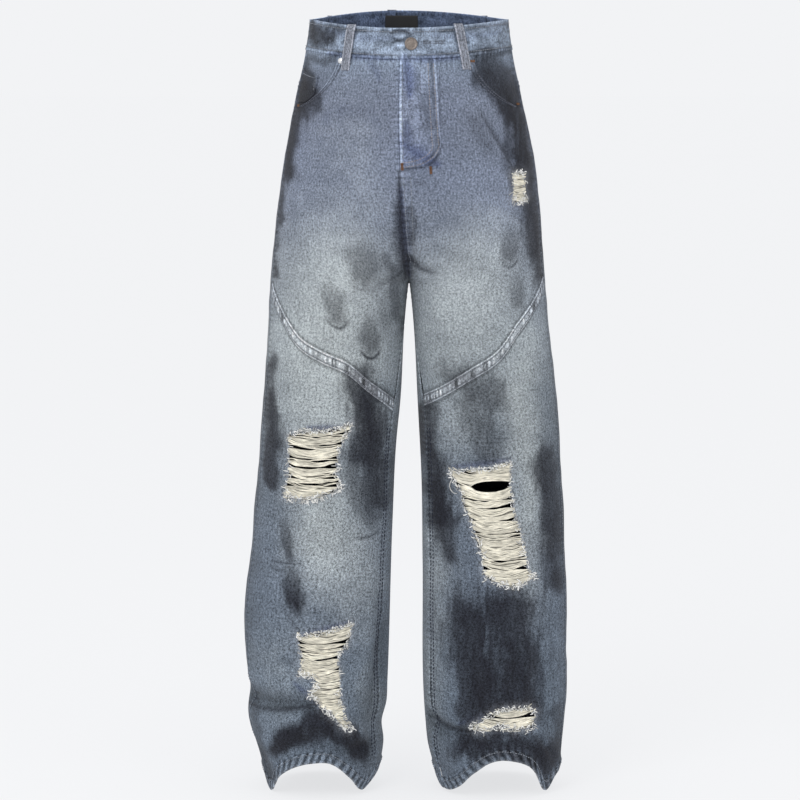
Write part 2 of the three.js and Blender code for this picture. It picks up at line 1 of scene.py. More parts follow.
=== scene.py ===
"""Ripped wide-leg jeans, standing open as they are worn.

+Z is up, the front faces -Y, the wearer's right leg is on the -X side, and the origin is the
middle of the waist opening. The cloth is worked out in millimetres and put into the meshes in
metres. A point of the cloth has a side (-1 right leg, +1 left leg), a place v round that leg
(0 outermost, rising to 1 over the front, falling to -1 over the back, and below -1 on round the
inside of the leg on to the front) and a height z.
"""
import bpy
import numpy as np
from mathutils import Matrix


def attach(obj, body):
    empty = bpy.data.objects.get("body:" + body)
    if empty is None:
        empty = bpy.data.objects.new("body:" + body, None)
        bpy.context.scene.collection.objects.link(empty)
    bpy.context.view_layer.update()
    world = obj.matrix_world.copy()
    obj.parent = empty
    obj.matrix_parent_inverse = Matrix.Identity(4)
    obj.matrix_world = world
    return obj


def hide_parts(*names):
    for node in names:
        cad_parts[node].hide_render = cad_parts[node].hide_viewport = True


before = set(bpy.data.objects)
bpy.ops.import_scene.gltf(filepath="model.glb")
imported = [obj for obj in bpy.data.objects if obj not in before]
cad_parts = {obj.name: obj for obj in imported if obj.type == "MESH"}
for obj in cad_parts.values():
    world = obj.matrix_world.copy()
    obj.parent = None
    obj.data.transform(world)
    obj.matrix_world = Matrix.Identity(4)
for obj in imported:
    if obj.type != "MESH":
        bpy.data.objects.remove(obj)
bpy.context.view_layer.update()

MM = 0.001
RIGHT, LEFT = -1, 1
SIDES = {RIGHT: "right", LEFT: "left"}

# ---- Sizes of the garment ------------------------------------------------------------------

CLOTH = 1.3             # one layer of denim
SEAM_GAP = 0.3          # between two sewn pieces
CENTRE_GAP = 0.01       # between the right half and the left
EDGE = 0.0014           # from a panel's upright edge to its seam, in v
BAND_HEIGHT = 42
HEM_HEIGHT = 15
FRONT_TOP, BACK_TOP = -13, 14   # the waistband's upper edge at the centre front and back
CROTCH = -361
CROTCH_JOIN = 4         # the depth below it to which the four panels' corners are sewn together
EDGE_SHARE = 0.002      # how near to the middle line a point is on the seam, in v
FRONT_RISE, BACK_RISE = -200, -150      # where the cloth starts to turn under to the crotch
SOFT_TOP, SOFT_DROP = -130, 300         # where and over what height the thighs part
OUTSEAM, INSEAM = 0.1, 0.86             # the v of each
MOUTH_TOP_V, MOUTH_BOTTOM = 0.56, -122
FLY_BOTTOM = -202
ROUND = 235             # the run round the leg to one v, at the hips
SLANT = 300             # the run to one v along the thigh seam
UV_ROUND = 225          # the run to one v in the cloth's UV map
RIPPLE_ROUND = 260      # the run to one v for the cloth's unevenness


def through(points):
    """A smooth curve through points: a cubic between each two, with a mean slope at each."""
    x, y = np.array(sorted(points), float).T
    h = np.diff(x)
    rise = np.diff(y) / h
    mean = (rise[:-1] * h[1:] + rise[1:] * h[:-1]) / (h[1:] + h[:-1])
    slope = np.concatenate([rise[:1], mean, rise[-1:]])

    def curve(at):
        at = np.clip(at, x[0], x[-1])
        i = np.clip(np.searchsorted(x, at) - 1, 0, len(h) - 1)
        t = (at - x[i]) / h[i]
        ends = (2 * t**3 - 3 * t**2 + 1) * y[i] + (3 * t**2 - 2 * t**3) * y[i + 1]
        return ends + h[i] * ((t**3 - 2 * t**2 + t) * slope[i] + (t**3 - t**2) * slope[i + 1])

    return curve


# How far the outside and the inside of each leg are from the middle, by height.
outer = {
    RIGHT: through([(15, 134), (0, 136), (-56, 145), (-111, 158), (-249, 181), (-361, 192.5), (-529, 203.5),
                    (-699, 218), (-885, 231), (-935, 223.5), (-971, 228), (-1029, 212.6), (-1085, 198)]),
    LEFT: through([(15, 134), (0, 136), (-56, 144.5), (-111, 157), (-194, 174), (-249, 180.5), (-361, 189),
                   (-529, 206.6), (-699, 217.4), (-877, 223), (-985, 220.5), (-1058, 212), (-1085, 209)]),
}
FORK = [(15, 0.05), (-359, 0.05), (-372, 1.6), (-384, 3), (-417, 6), (-529, 12)]
inner = {
    RIGHT: through(FORK + [(-585, 17.5), (-699, 23), (-928, 30.3), (-957, 31.7), (-985, 38.5), (-1014, 36),
                           (-1036, 39), (-1085, 55)]),
    LEFT: through(FORK + [(-642, 17.6), (-756, 19.1), (-985, 23.5), (-1014, 26.4), (-1058, 37.8), (-1085, 44)]),
}
# Half the depth of the trunk and of the legs, by height, and the line of the centre front.
hip_front = through([(15, 97), (0, 98), (-120, 108), (-220, 112), (-361, 106)])
hip_back = through([(15, 103), (0, 104), (-120, 128), (-220, 136), (-361, 124)])
leg_front = through([(-150, 104), (-361, 98), (-640, 76), (-900, 80), (-1085, 86)])
leg_back = through([(-150, 112), (-361, 104), (-640, 82), (-900, 84), (-1085, 90)])
centre = through([(15, -12.5), (-190, -12.5), (-240, -10), (-361, 0)])

# The heights of the slanting thigh seam, the hem's lower edge and the yoke's seam, by v.
thigh_seam = {
    RIGHT: through([(0.1, -369), (0.24, -412), (0.33, -440), (0.44, -459), (0.57, -477), (0.67, -501),
                    (0.82, -527), (1, -548)]),
    LEFT: through([(0.1, -360), (0.25, -399), (0.335, -423), (0.43, -456), (0.57, -484), (0.73, -511),
                   (0.92, -529), (1, -534)]),
}
hem_edge = {
    RIGHT: through([(-1, -1050), (-0.75, -1066), (-0.5, -1063), (-0.25, -1066), (0, -1058), (0.125, -1078),
                    (0.25, -1053), (0.46, -1029), (0.55, -1029), (0.68, -1053), (0.79, -1073), (0.88, -1064),
                    (1, -1050)]),
    LEFT: through([(-1, -1056), (-0.75, -1064), (-0.5, -1060), (-0.25, -1064), (0, -1048), (0.11, -1055),
                   (0.23, -1072), (0.3, -1045), (0.43, -1026), (0.5, -1025), (0.63, -1046), (0.72, -1065),
                   (0.81, -1074), (0.9, -1071), (1, -1056)]),
}
yoke_seam = through([(-1, -128), (-0.5, -112), (0.1, -92)])
WELT_HALF = 8.2         # half the height of the welt over the thigh seam
# The belt loops: side, the v of the upper end, the lean down to the lower one and the height.
LOOPS = {
    "front_right": (RIGHT, 0.652, -0.02, -8), "front_left": (LEFT, 0.65, -0.035, -7),
    "back_right": (RIGHT, -0.42, 0, 6), "back_left": (LEFT, -0.42, 0, 6), "back_middle": (RIGHT, -0.94, 0, 15),
}
LOOP_LENGTH, LOOP_HALF = BAND_HEIGHT + 20, 6.3
loop_stand = through([(0, 1.2), (0.05, 2.6), (0.12, 3.6), (0.4, 3.9), (0.65, 3.8), (0.86, 3.0), (0.94, 1.7),
                      (1, 1.2)])


# ---- The cloth surface ---------------------------------------------------------------------

def ease(x):
    """From 0 at 0 to 1 at 1, level at both ends: 3 x^2 - 2 x^3."""
    x = np.clip(x, 0, 1)
    return x * x * (3 - 2 * x)


def hump(x, middle, wide):
    """A bell: exp(-((x - middle) / wide)^2)."""
    return np.exp(-(((x - middle) / wide) ** 2))


def grid(columns, rows):
    """p from 0 to 1 over the columns, and q from 0 to 1 down the rows."""
    return np.linspace(0, 1, columns)[None], np.linspace(0, 1, rows)[:, None]


def turn_under(back, z):
    """How far the cloth at the centre has turned from the trunk into the leg, 0 to 1: a quarter
    circle over the rise."""
    start = np.where(back, BACK_RISE, FRONT_RISE)
    drop = np.clip((start - z) / (start - CROTCH), 0, 1)
    return 1 - np.sqrt(1 - drop * drop)


def plain(side, v, z):
    """The cloth with no folds: the trunk is half an ellipse from the outseam to the centre, each
    leg a whole one, and the rise seam goes from the first to the second along a quarter ellipse."""
    v, z = np.broadcast_arrays(np.asarray(v, float), np.asarray(z, float))
    t = np.where(v < -1, v + 2, v)
    back = t < 0
    t = np.abs(t)
    xo, xi = side * outer[side](z), side * inner[side](z)
    xc = centre(z) + side * CENTRE_GAP / 2
    edge = turn_under(back, z)
    soft = ease((SOFT_TOP - z) / SOFT_DROP)
    leg = soft + (edge - soft) * ease((t - 0.3) / 0.6)
    trunk_x = xc + (xo - xc) * np.cos(np.pi * t / 2)
    tube_x = (xo + xi) / 2 + (xo - xi) / 2 * np.cos(np.pi * t)
    hip = np.where(back, hip_back(z), -hip_front(z)) * np.sin(np.pi * t / 2)
    tube = np.where(back, leg_back(z), -leg_front(z)) * np.sin(np.pi * t)
    return np.stack([(1 - leg) * trunk_x + leg * tube_x, (1 - leg) * hip + leg * tube, z], -1)


def outward(side, v, z):
    """The unit vector out of the cloth: across it times up it."""
    v, z = np.broadcast_arrays(np.asarray(v, float), np.asarray(z, float))
    lowest = np.where(z > CROTCH, -1, -1.5)
    small, tall = 0.004, 2
    across = plain(side, np.minimum(v + small, 1), z) - plain(side, np.maximum(v - small, lowest), z)
    up = plain(side, v, z + tall) - plain(side, v, z - tall)
    n = -side * np.cross(across, up)
    return n / np.linalg.norm(n, axis=-1, keepdims=True)


# Folds: a bent line (start, middle, end, in x and z as seen from the front or the back), the half
# width of the fold, and its height, which is negative for a trough.
FRONT_FOLDS = [
    # the broad ones
    ((-232, -942), (-180, -946), (-128, -944), 14, -6),
    ((-232, -916), (-180, -920), (-140, -922), 17, 4),
    ((-196, -1004), (-138, -948), (-66, -994), 17, 7),
    ((-100, -1014), (-80, -1016), (-58, -1008), 12, -6),
    ((-30, -850), (-52, -940), (-64, -1020), 15, -5),
    ((28, -976), (60, -994), (98, -992), 13, -6),
    ((60, -900), (72, -940), (66, -1030), 15, 4),
    ((168, -984), (192, -1012), (208, -1040), 14, 5),
    # the right leg: short creases at the knee, the shin and over the shoe
    ((-190, -747), (-170, -752), (-150, -749), 3.5, -1.6),
    ((-192, -757), (-172, -763), (-156, -760), 3.5, -1.4),
    ((-74, -714), (-58, -718), (-42, -708), 4, -1.5),
    ((-226, -946), (-180, -951), (-130, -948), 5, -3),
    ((-215, -975), (-160, -962), (-128, -976), 8, 2.5),
    ((-150, -1000), (-128, -1008), (-100, -998), 9, -3),
    ((-70, -988), (-58, -1000), (-56, -1016), 5, 3),
    ((-42, -800), (-36, -850), (-44, -905), 7, -2),
    ((-216, -1010), (-204, -1030), (-196, -1058), 7, -3),
    ((-182, -830), (-168, -842), (-150, -846), 6, -1.5),
    # the left leg: the crease into the low rip, upright folds over the calf
    ((26, -972), (56, -986), (92, -985), 5, -3),
    ((84, -880), (92, -920), (90, -952), 8, -2.5),
    ((104, -900), (108, -930), (112, -950), 7, 2),
    ((152, -880), (146, -915), (140, -945), 8, -2.5),
    ((164, -868), (160, -905), (156, -940), 7, 2),
    ((184, -884), (178, -912), (176, -944), 8, -2),
    ((180, -995), (196, -1016), (205, -1040), 5, -2.5),
    ((68, -985), (84, -1000), (94, -1030), 8, -2.5),
    ((110, -985), (120, -1005), (118, -1022), 9, 2.5),
    ((150, -990), (158, -1006), (168, -1028), 8, 2.5),
    # the crotch and the hips
    ((2, -330), (16, -338), (34, -348), 5, -3),
    ((0, -300), (5, -318), (2, -345), 6, -3),
    ((-4, -334), (-18, -346), (-40, -360), 6, -2.5),
    ((-160, -276), (-100, -282), (-40, -276), 7, 1.2),
    ((-166, -300), (-110, -308), (-50, -298), 8, 1),
    ((30, -300), (90, -318), (150, -306), 8, 1),
    ((96, -124), (120, -158), (142, -196), 6, -2),
    ((147, -262), (153, -320), (156, -388), 6, -2),
    ((8, -70), (10, -120), (6, -170), 6, 1.2),
    ((26, -66), (28, -110), (24, -160), 5, -1.2),
]
BACK_FOLDS = [
    ((-150, -372), (-90, -388), (-20, -378), 16, -6),
    ((150, -368), (90, -386), (20, -378), 16, -6),
    ((-190, -630), (-110, -652), (-40, -622), 17, -6),
    ((190, -622), (110, -646), (40, -630), 17, -6),
    ((-205, -962), (-130, -990), (-60, -958), 17, -7),
    ((200, -956), (126, -984), (50, -966), 17, -7),
    ((-165, -352), (-100, -376), (-24, -362), 6, -3),
    ((165, -350), (100, -372), (24, -360), 6, -3),
    ((-178, -398), (-110, -412), (-40, -396), 8, 2),
    ((178, -396), (110, -410), (40, -398), 8, 2),
    ((-190, -600), (-120, -612), (-60, -596), 6, -2),
    ((190, -596), (120, -606), (60, -592), 6, -2),
    ((-196, -665), (-130, -676), (-50, -652), 7, 2),
    ((196, -660), (130, -670), (50, -648), 7, 2),
    ((-214, -930), (-140, -952), (-50, -930), 8, -3),
    ((214, -926), (140, -948), (50, -930), 8, -3),
    ((-200, -1010), (-130, -1030), (-70, -1006), 8, -3),
    ((200, -1004), (130, -1026), (70, -1004), 8, -3),
    ((-150, -300), (-120, -316), (-90, -318), 9, -2),
    ((150, -300), (120, -316), (90, -318), 9, -2),
]


def off_line(points, x, z, steps=14):
    """How far (x, z) is from a bent line through three points, and how far along it, 0 to 1."""
    t = np.linspace(0, 1, steps)
    a, b, c = (np.array(p, float)[:, None] for p in points)
    line = (1 - t) ** 2 * a + 2 * t * (1 - t) * b + t**2 * c
    nearest = np.full(np.shape(x), np.inf)
    along = np.zeros(np.shape(x))
    for i in range(steps - 1):
        start, step = line[:, i], line[:, i + 1] - line[:, i]
        share = np.clip(((x - start[0]) * step[0] + (z - start[1]) * step[1]) / (step @ step), 0, 1)
        away = np.hypot(x - start[0] - share * step[0], z - start[1] - share * step[1])
        along = np.where(away < nearest, (i + share) / (steps - 1), along)
        nearest = np.minimum(nearest, away)
    return nearest, along


def fold_height(v, p):
    """The sum of the folds at a point: each is high * exp(-(distance / width)^2)."""
    x, z = p[..., 0], p[..., 2]
    front = (v > 0) | (v < -1)
    total = np.zeros(x.shape)
    for face, folds in ((front, FRONT_FOLDS), (~front, BACK_FOLDS)):
        for *line, wide, high in folds:
            low, top = min(q[1] for q in line) - 3 * wide, max(q[1] for q in line) + 3 * wide
            near = face & (z > low) & (z < top)
            if near.any():
                away, _ = off_line(line, x[near], z[near])
                total[near] += high * np.exp(-((away / wide) ** 2))
    return total * ease(np.abs(p[..., 1]) / 30)


def noise(x, y, size, seed):
    """Smooth bumps about size apart, from -1 to 1: random values on a square lattice, with the
    values between them eased, and the lattice repeated every 64."""
    table = np.random.default_rng(seed).uniform(-1, 1, (64, 64))
    x, y = np.asarray(x, float) / size + 640, np.asarray(y, float) / size + 640
    i, j = np.floor(x).astype(int), np.floor(y).astype(int)
    a, b = ease(x - i), ease(y - j)
    low = table[i % 64, j % 64] * (1 - a) + table[(i + 1) % 64, j % 64] * a
    high = table[i % 64, (j + 1) % 64] * (1 - a) + table[(i + 1) % 64, (j + 1) % 64] * a
    return low * (1 - b) + high * b


def cloth(side, v, z, out=0.0):
    """A point of the folded, slightly uneven cloth, moved out of its face by a distance. The
    two sides meet at the middle line and neither crosses it."""
    v, z = np.broadcast_arrays(np.asarray(v, float), np.asarray(z, float))
    p = plain(side, v, z)
    run = v * RIPPLE_ROUND * side
    ripple = 1.1 * noise(run, z, 62, 5) + 0.35 * noise(run, z, 17, 6)
    quiet = ease((-60 - z) / 60) * ease(8 * np.abs(1 - np.abs(v)))
    p = p + outward(side, v, z) * (fold_height(v, p) + ripple * quiet + np.asarray(out))[..., None]
    middle = centre(z) * (1 - turn_under((v < 0) & (v >= -1), z)) + side * CENTRE_GAP / 2
    sewn = (np.abs(np.abs(v) - 1) < EDGE_SHARE) & (z > CROTCH - CROTCH_JOIN)
    p[..., 0] = np.where(sewn | ((p[..., 0] - middle) * side < 0), middle, p[..., 0])
    return p


def band_top(v):
    """The waistband's upper edge: half a cosine wave from the side to each centre."""
    return np.where(np.asarray(v) > 0, FRONT_TOP, BACK_TOP) * (1 - np.cos(np.pi * v)) / 2


def band_bottom(v):
    """The waistband's lower edge."""
    return band_top(v) - BAND_HEIGHT


MOUTH_TOP = band_bottom(MOUTH_TOP_V) - SEAM_GAP


def mouth_v(z, top=MOUTH_TOP):
    """v of the pocket mouth at a height: a quarter ellipse from the waistband to the outseam."""
    down = np.clip((top - z) / (top - MOUTH_BOTTOM), 0, 1)
    return OUTSEAM + (MOUTH_TOP_V - OUTSEAM) * np.sqrt(1 - down * down)


def inseam(z):
    """v of the inseam: the middle line at the crotch, easing out over the next 200 mm down."""
    return 1 - (1 - INSEAM) * ease((CROTCH - z) / 200)


def hem_line(side, v):
    """The hem's lower edge at v, on round the inside of the leg too."""
    v = np.asarray(v, float)
    return hem_edge[side](np.where(v < -1, v + 2, v))


def v_at(side, x, z):
    """v on the front of one side for a given x and height, by halving."""
    x, z = np.broadcast_arrays(np.asarray(x, float), np.asarray(z, float))
    low, high = np.zeros(x.shape), np.ones(x.shape)
    for _ in range(26):
        middle = (low + high) / 2
        outside = plain(side, middle, z)[..., 0] * side > x * side
        low, high = np.where(outside, middle, low), np.where(outside, high, middle)
    return (low + high) / 2


# ---- Rips ----------------------------------------------------------------------------------

# Outlines in x and z, how many torn yarns curl round the edge, and the gaps between the threads:
# x, z, half width, half height.
RIPS = {
    "right_knee": dict(side=RIGHT, panel="lower", curls=260, gaps=[
        (-142, -589, 16, 1.7), (-113, -583, 12, 1.4), (-146, -603, 13, 1.3), (-124, -606, 13, 2.0),
        (-140, -616, 13, 1.5), (-148, -574, 7, 1.1), (-128, -572, 7, 1.0), (-108, -569, 6, 0.8),
        (-150, -631, 8, 0.7), (-124, -626, 9, 1.0), (-108, -613, 7, 1.0), (-112, -636, 7, 0.7),
        (-138, -642, 7, 0.6)],
        outline=[(-166, -570), (-142, -563), (-109, -563), (-79, -554), (-90, -574), (-98, -591), (-101, -625),
                 (-94, -644), (-115, -651), (-135, -660), (-172, -658), (-167, -632), (-165, -602)]),
    "right_shin": dict(side=RIGHT, panel="lower", curls=260, gaps=[
        (-124, -862, 16, 1.0), (-120, -883, 12, 1.5), (-132, -874, 8, 0.8), (-106, -868, 8, 0.7),
        (-113, -925, 7, 0.9), (-118, -899, 8, 1.0), (-108, -940, 7, 0.8), (-104, -915, 5, 0.8)],
        outline=[(-154, -850), (-119, -845), (-93, -838), (-79, -833), (-82, -848), (-86, -863), (-100, -877),
                 (-97, -912), (-97, -937), (-90, -962), (-82, -983), (-93, -976), (-104, -962), (-121, -949),
                 (-139, -934), (-128, -914), (-133, -905), (-153, -904), (-149, -892), (-150, -875)]),
    "left_knee": dict(side=LEFT, panel="lower", curls=300, gaps=[
        (112, -641, 27, 8), (88, -660, 7, 1.2), (121, -671, 13, 1.4), (128, -690, 8, 0.8), (134, -707, 8, 0.8),
        (140, -725, 7, 0.8), (116, -714, 6, 0.7), (146, -744, 6, 0.8), (122, -745, 6, 0.6), (134, -758, 6, 0.6),
        (104, -690, 6, 0.6)],
        outline=[(57, -622), (85, -618), (113, -616), (140, -607), (139, -647), (144, -675), (152, -705),
                 (161, -740), (165, -763), (173, -769), (163, -775), (141, -781), (122, -775), (105, -768),
                 (101, -732), (92, -711), (86, -691), (76, -669), (73, -648), (63, -634)]),
    "left_hem": dict(side=LEFT, panel="lower", curls=170, gaps=[(140, -966, 16, 0.9)],
        outline=[(88, -978), (103, -968), (122, -955), (139, -952), (165, -951), (175, -960), (171, -979),
                 (159, -981), (149, -982), (131, -976), (118, -977), (96, -986)]),
    "left_hip": dict(side=LEFT, panel="upper", curls=60, gaps=[],
        outline=[(141, -211), (150, -209), (159, -211), (157, -228), (160, -246), (151, -249), (142, -247),
                 (144, -228)]),
}


def depth_inside(outline, x, z, ragged=1.0):
    """How far a point lies inside an outline (outside it is < 0), its edge made ragged by noise."""
    x, z = x + 1.7 * ragged * noise(x, z, 7, 21), z + 2.2 * ragged * noise(x, z, 5, 22)
    near = np.full(x.shape, np.inf)
    inside = np.zeros(x.shape, bool)
    for (ax, az), (bx, bz) in zip(outline, outline[1:] + outline[:1]):
        dx, dz = bx - ax, bz - az
        share = np.clip(((x - ax) * dx + (z - az) * dz) / (dx * dx + dz * dz), 0, 1)
        near = np.minimum(near, np.hypot(x - ax - share * dx, z - az - share * dz))
        if dz:
            inside ^= ((az > z) != (bz > z)) & (x < ax + (z - az) * dx / dz)
    return np.where(inside, near, -near)


# ---- Colour of the cloth -------------------------------------------------------------------

# Charcoal smudges on the front and the back, and on the front painted shadow at the crotch and under the right
# hem's arched fold: a bent line in x and z, half width and strength.
FRONT_SMUDGES_AND_SHADOWS = [
    # the right hip and thigh
    ((-134, -14), (-124, -24), (-108, -26), 15, 0.9), ((-140, -46), (-124, -56), (-104, -57), 7, 0.5),
    ((104, -46), (120, -44), (136, -38), 8, 0.75), ((98, -52), (118, -64), (138, -84), 17, 0.75),
    ((-154, -62), (-143, -88), (-132, -114), 19, 0.85),
    ((-150, -100), (-160, -150), (-170, -205), 19, 0.95),
    ((-170, -190), (-182, -255), (-192, -345), 9, 0.85),
    ((-30, -330), (-16, -398), (-8, -445), 9, 0.5),
    # painted shadow in the crotch, below the fly
    ((-15, -262), (-13, -310), (-6, -356), 12, 0.6), ((1, -262), (3, -284), (5, -304), 6, 0.6),
    # its knee, shin and hem
    ((-196, -476), (-192, -560), (-190, -640), 15, 0.9),
    ((-72, -496), (-60, -540), (-62, -600), 27, 0.88),
    ((-48, -520), (-44, -590), (-40, -660), 22, 0.8),
    ((-82, -600), (-72, -640), (-58, -680), 17, 0.45),
    # under the arched fold at the hem: a dark stain, with painted shadow beneath the fold
    ((-182, -1006), (-128, -936), (-64, -1014), 19, 0.95), ((-160, -988), (-126, -972), (-86, -990), 24, 0.8),
    ((-182, -1010), (-160, -1000), (-140, -984), 16, 0.7),
    ((-226, -950), (-212, -1000), (-196, -1060), 9, 0.5),
    # the left hip and thigh
    ((104, -78), (132, -104), (152, -140), 20, 0.85),
    ((138, -108), (149, -150), (159, -206), 25, 0.95),
    ((156, -200), (168, -270), (181, -350), 21, 0.92),
    # its knee, shin and hem
    ((66, -486), (94, -500), (112, -516), 27, 0.62), ((84, -530), (98, -560), (108, -592), 24, 0.5),
    ((16, -545), (32, -600), (42, -680), 23, 0.88),
    ((30, -640), (46, -690), (58, -738), 18, 0.82),
    ((188, -600), (198, -690), (206, -782), 21, 0.85),
    ((82, -826), (98, -870), (104, -945), 46, 0.95),
    ((138, -818), (156, -870), (156, -945), 47, 0.95),
    ((82, -1004), (130, -1000), (192, -1026), 30, 0.97),
    ((204, -960), (212, -1000), (216, -1046), 10, 0.55),
]
# Finger-like marks: x, z, half width, half height, lean, strength, strength of the lower rim.
FRONT_PRINTS = [
    (-103, -386, 21, 37, -0.22, 0.6, 0.75), (-62, -330, 31, 42, -0.1, 0.58, 0.3),
    (-54, -430, 19, 36, -0.05, 0.68, 0.95), (137, -308, 16, 32, 0, 0.62, 0.7),
    (147, -372, 14, 34, -0.15, 0.45, 0.1), (-170, -716, 10, 42, -0.15, 0.75, 0),
    (-160, -784, 18, 44, -0.12, 0.98, 0.3), (-30, -398, 16, 50, 0, 0.3, 0), (94, -150, 14, 40, -0.5, 0.3, 0),
]
# Painted shade in thin creases and along sunk stitch lines: a bent line in x and z, half width and strength.
FRONT_CREASE_SHADE = [
    ((-228, -957), (-180, -961), (-122, -944), 3.2, 0.75), ((-190, -747), (-170, -752), (-150, -749), 1.8, 0.6),
    ((-192, -757), (-172, -763), (-156, -760), 1.8, 0.55), ((-76, -713), (-58, -719), (-42, -708), 2, 0.6),
    ((-92, -1000), (-76, -1012), (-62, -1008), 7, 0.85), ((-36, -800), (-46, -900), (-62, -1000), 3, 0.2),
    ((-178, -804), (-166, -826), (-152, -846), 3, 0.45),
    ((28, -974), (56, -986), (96, -986), 3, 0.7), ((96, -990), (120, -992), (160, -986), 5, 0.6),
    ((168, -984), (190, -1016), (207, -1046), 3, 0.7), ((176, -1014), (188, -1040), (197, -1072), 4, 0.7),
    ((-26, -20), (-10, -12), (2, -22), 3.2, 0.9), ((-2, -24), (-14, -34), (-22, -26), 3, 0.8),
    ((41, -66), (41, -110), (41, -172), 1.1, 0.55), ((41, -172), (39, -198), (12, -201), 1.6, 0.75),
    ((12, -201), (0, -202), (-10, -201), 1.8, 0.7), ((36, -168), (33, -190), (14, -193), 1.2, 0.55),
    ((-14, -206), (-13, -270), (-5, -356), 5, 0.8), ((-5, -318), (2, -328), (14, -337), 5, 0.85),
    ((4, -336), (16, -340), (32, -346), 3, 0.7),
    ((-2, -340), (-20, -352), (-38, -362), 3, 0.5), ((84, -880), (92, -920), (90, -952), 3, 0.35),
    ((152, -880), (146, -915), (140, -945), 3, 0.35), ((96, -128), (118, -160), (140, -200), 2.5, 0.6),
    ((20, -66), (24, -110), (22, -160), 2.5, 0.15), ((-8, -70), (-7, -120), (-8, -170), 2.5, 0.3),
]
BACK_SMUDGES = [
    ((-150, -60), (-160, -140), (-178, -260), 20, 0.85),
    ((150, -60), (160, -140), (178, -260), 20, 0.85),
    ((-130, -350), (-96, -372), (-70, -410), 30, 0.4),
    ((70, -318), (84, -350), (78, -400), 26, 0.35),
    ((-66, -560), (-58, -620), (-66, -680), 30, 0.6),
    ((60, -520), (84, -580), (90, -650), 36, 0.65),
    ((-186, -640), (-196, -730), (-204, -830), 20, 0.65),
    ((192, -560), (198, -640), (204, -730), 19, 0.6),
    ((70, -800), (110, -870), (130, -950), 44, 0.85),
    ((-150, -780), (-140, -840), (-120, -900), 26, 0.5),
    ((-180, -1010), (-120, -1024), (-60, -1030), 26, 0.75),
    ((60, -1010), (120, -1024), (190, -1030), 28, 0.8),
]
# Rubbed, pale areas: x, z, half width, half height and strength.
FRONT_FADES = [
    (-100, -440, 74, 100, 0.9), (-104, -340, 70, 80, 0.6), (-150, -480, 44, 90, 0.6), (-116, -700, 44, 84, 0.8),
    (-66, -770, 40, 80, 0.35), (-120, -540, 50, 40, 0.5), (88, -430, 64, 96, 0.6), (84, -340, 62, 66, 0.5),
    (156, -530, 28, 110, 0.7), (164, -680, 22, 110, 0.6), (100, -150, 60, 60, 0.1), (-80, -160, 55, 70, 0.2),
    (30, -760, 26, 80, 0.4), (-180, -900, 40, 70, 0.15), (40, -430, 40, 80, 0.3), (22, -900, 20, 120, 0.3),
    (-50, -960, 24, 60, 0.2), (70, -560, 44, 50, 0.3),
]
BACK_FADES = [
    (-86, -230, 56, 70, 0.6), (86, -230, 56, 70, 0.6), (-110, -440, 56, 110, 0.7), (110, -440, 56, 110, 0.65),
    (-120, -760, 50, 120, 0.5), (40, -720, 40, 110, 0.35), (130, -600, 44, 90, 0.4),
]
# Deep blue areas, in the same form as the smudges.
FRONT_INDIGO = [
    ((-6, -52), (2, -75), (0, -104), 11, 0.85), ((-8, -168), (14, -186), (38, -196), 13, 0.85),
    ((-4, -140), (0, -170), (-6, -198), 9, 0.6), ((-141, -558), (-120, -560), (-94, -557), 4.5, 1.0),
    ((-12, -230), (-8, -310), (0, -352), 8, 0.9), ((-14, -54), (30, -56), (72, -52), 6, 0.8),
    ((-110, -47), (-70, -52), (-20, -55), 5, 0.8), ((-60, -54), (-44, -66), (-40, -84), 6, 0.4),
    ((-150, -848), (-120, -843), (-84, -831), 4.5, 0.8), ((60, -614), (100, -611), (140, -602), 4.5, 0.8),
    ((-110, -16), (-60, -30), (-20, -26), 7, 0.35), ((30, -22), (80, -28), (125, -18), 6, 0.3),
    ((70, -975), (100, -960), (160, -945), 5, 0.7), ((-160, -915), (-142, -930), (-120, -955), 4.5, 0.6),
]
# The unworn colour by height, one curve for each of red, green and blue.
LEVELS = (-1085, -950, -760, -600, -450, -350, -200, -90, -40, 15)
BY_HEIGHT = [through(list(zip(LEVELS, levels))) for levels in (
    (0.115, 0.140, 0.155, 0.165, 0.215, 0.230, 0.200, 0.205, 0.265, 0.265),
    (0.142, 0.175, 0.190, 0.198, 0.255, 0.268, 0.236, 0.243, 0.325, 0.320),
    (0.180, 0.220, 0.240, 0.238, 0.300, 0.325, 0.320, 0.325, 0.415, 0.410))]
# The second colour is the near black of the soot smudges and also of the painted shadow and crease shade.
PALE, SOOT_AND_SHADE, INDIGO = np.array([[0.5, 0.545, 0.55], [0.020, 0.022, 0.031], [0.035, 0.05, 0.13]])
SEAM_PALE = np.array([0.36, 0.37, 0.4])
FRINGE_PALE = np.array([0.42, 0.44, 0.47])
LOOP_GREY = np.array([0.27, 0.275, 0.305])


def strokes(table, x, z):
    """How strongly a table of smudges covers each point: dry brushwork, its edges warped and its
    body streaked along the cloth."""
    cover = np.zeros(x.shape)
    wx = x + 6 * noise(x, z, 38, 31) + 3 * noise(x, z, 13, 32) + 1.2 * noise(x, z, 5.5, 33)
    wz = z + 8 * noise(x, z, 41, 34) + 5 * noise(x, z, 15, 35) + 2 * noise(x, z, 6, 36)
    rough = 0.24 * noise(x, z * 0.16, 4.5, 37) + 0.18 * noise(x, z * 0.3, 11, 38) + 0.1 * noise(x, z, 3, 39)
    for *line, wide, strength in table:
        away, _ = off_line(line, wx, wz, 7)
        cover = 1 - (1 - cover) * (1 - strength * (1 - ease((away / wide + rough - 0.3) / 0.95)))
    return np.clip(cover * (1 + 0.4 * rough), 0, 1)


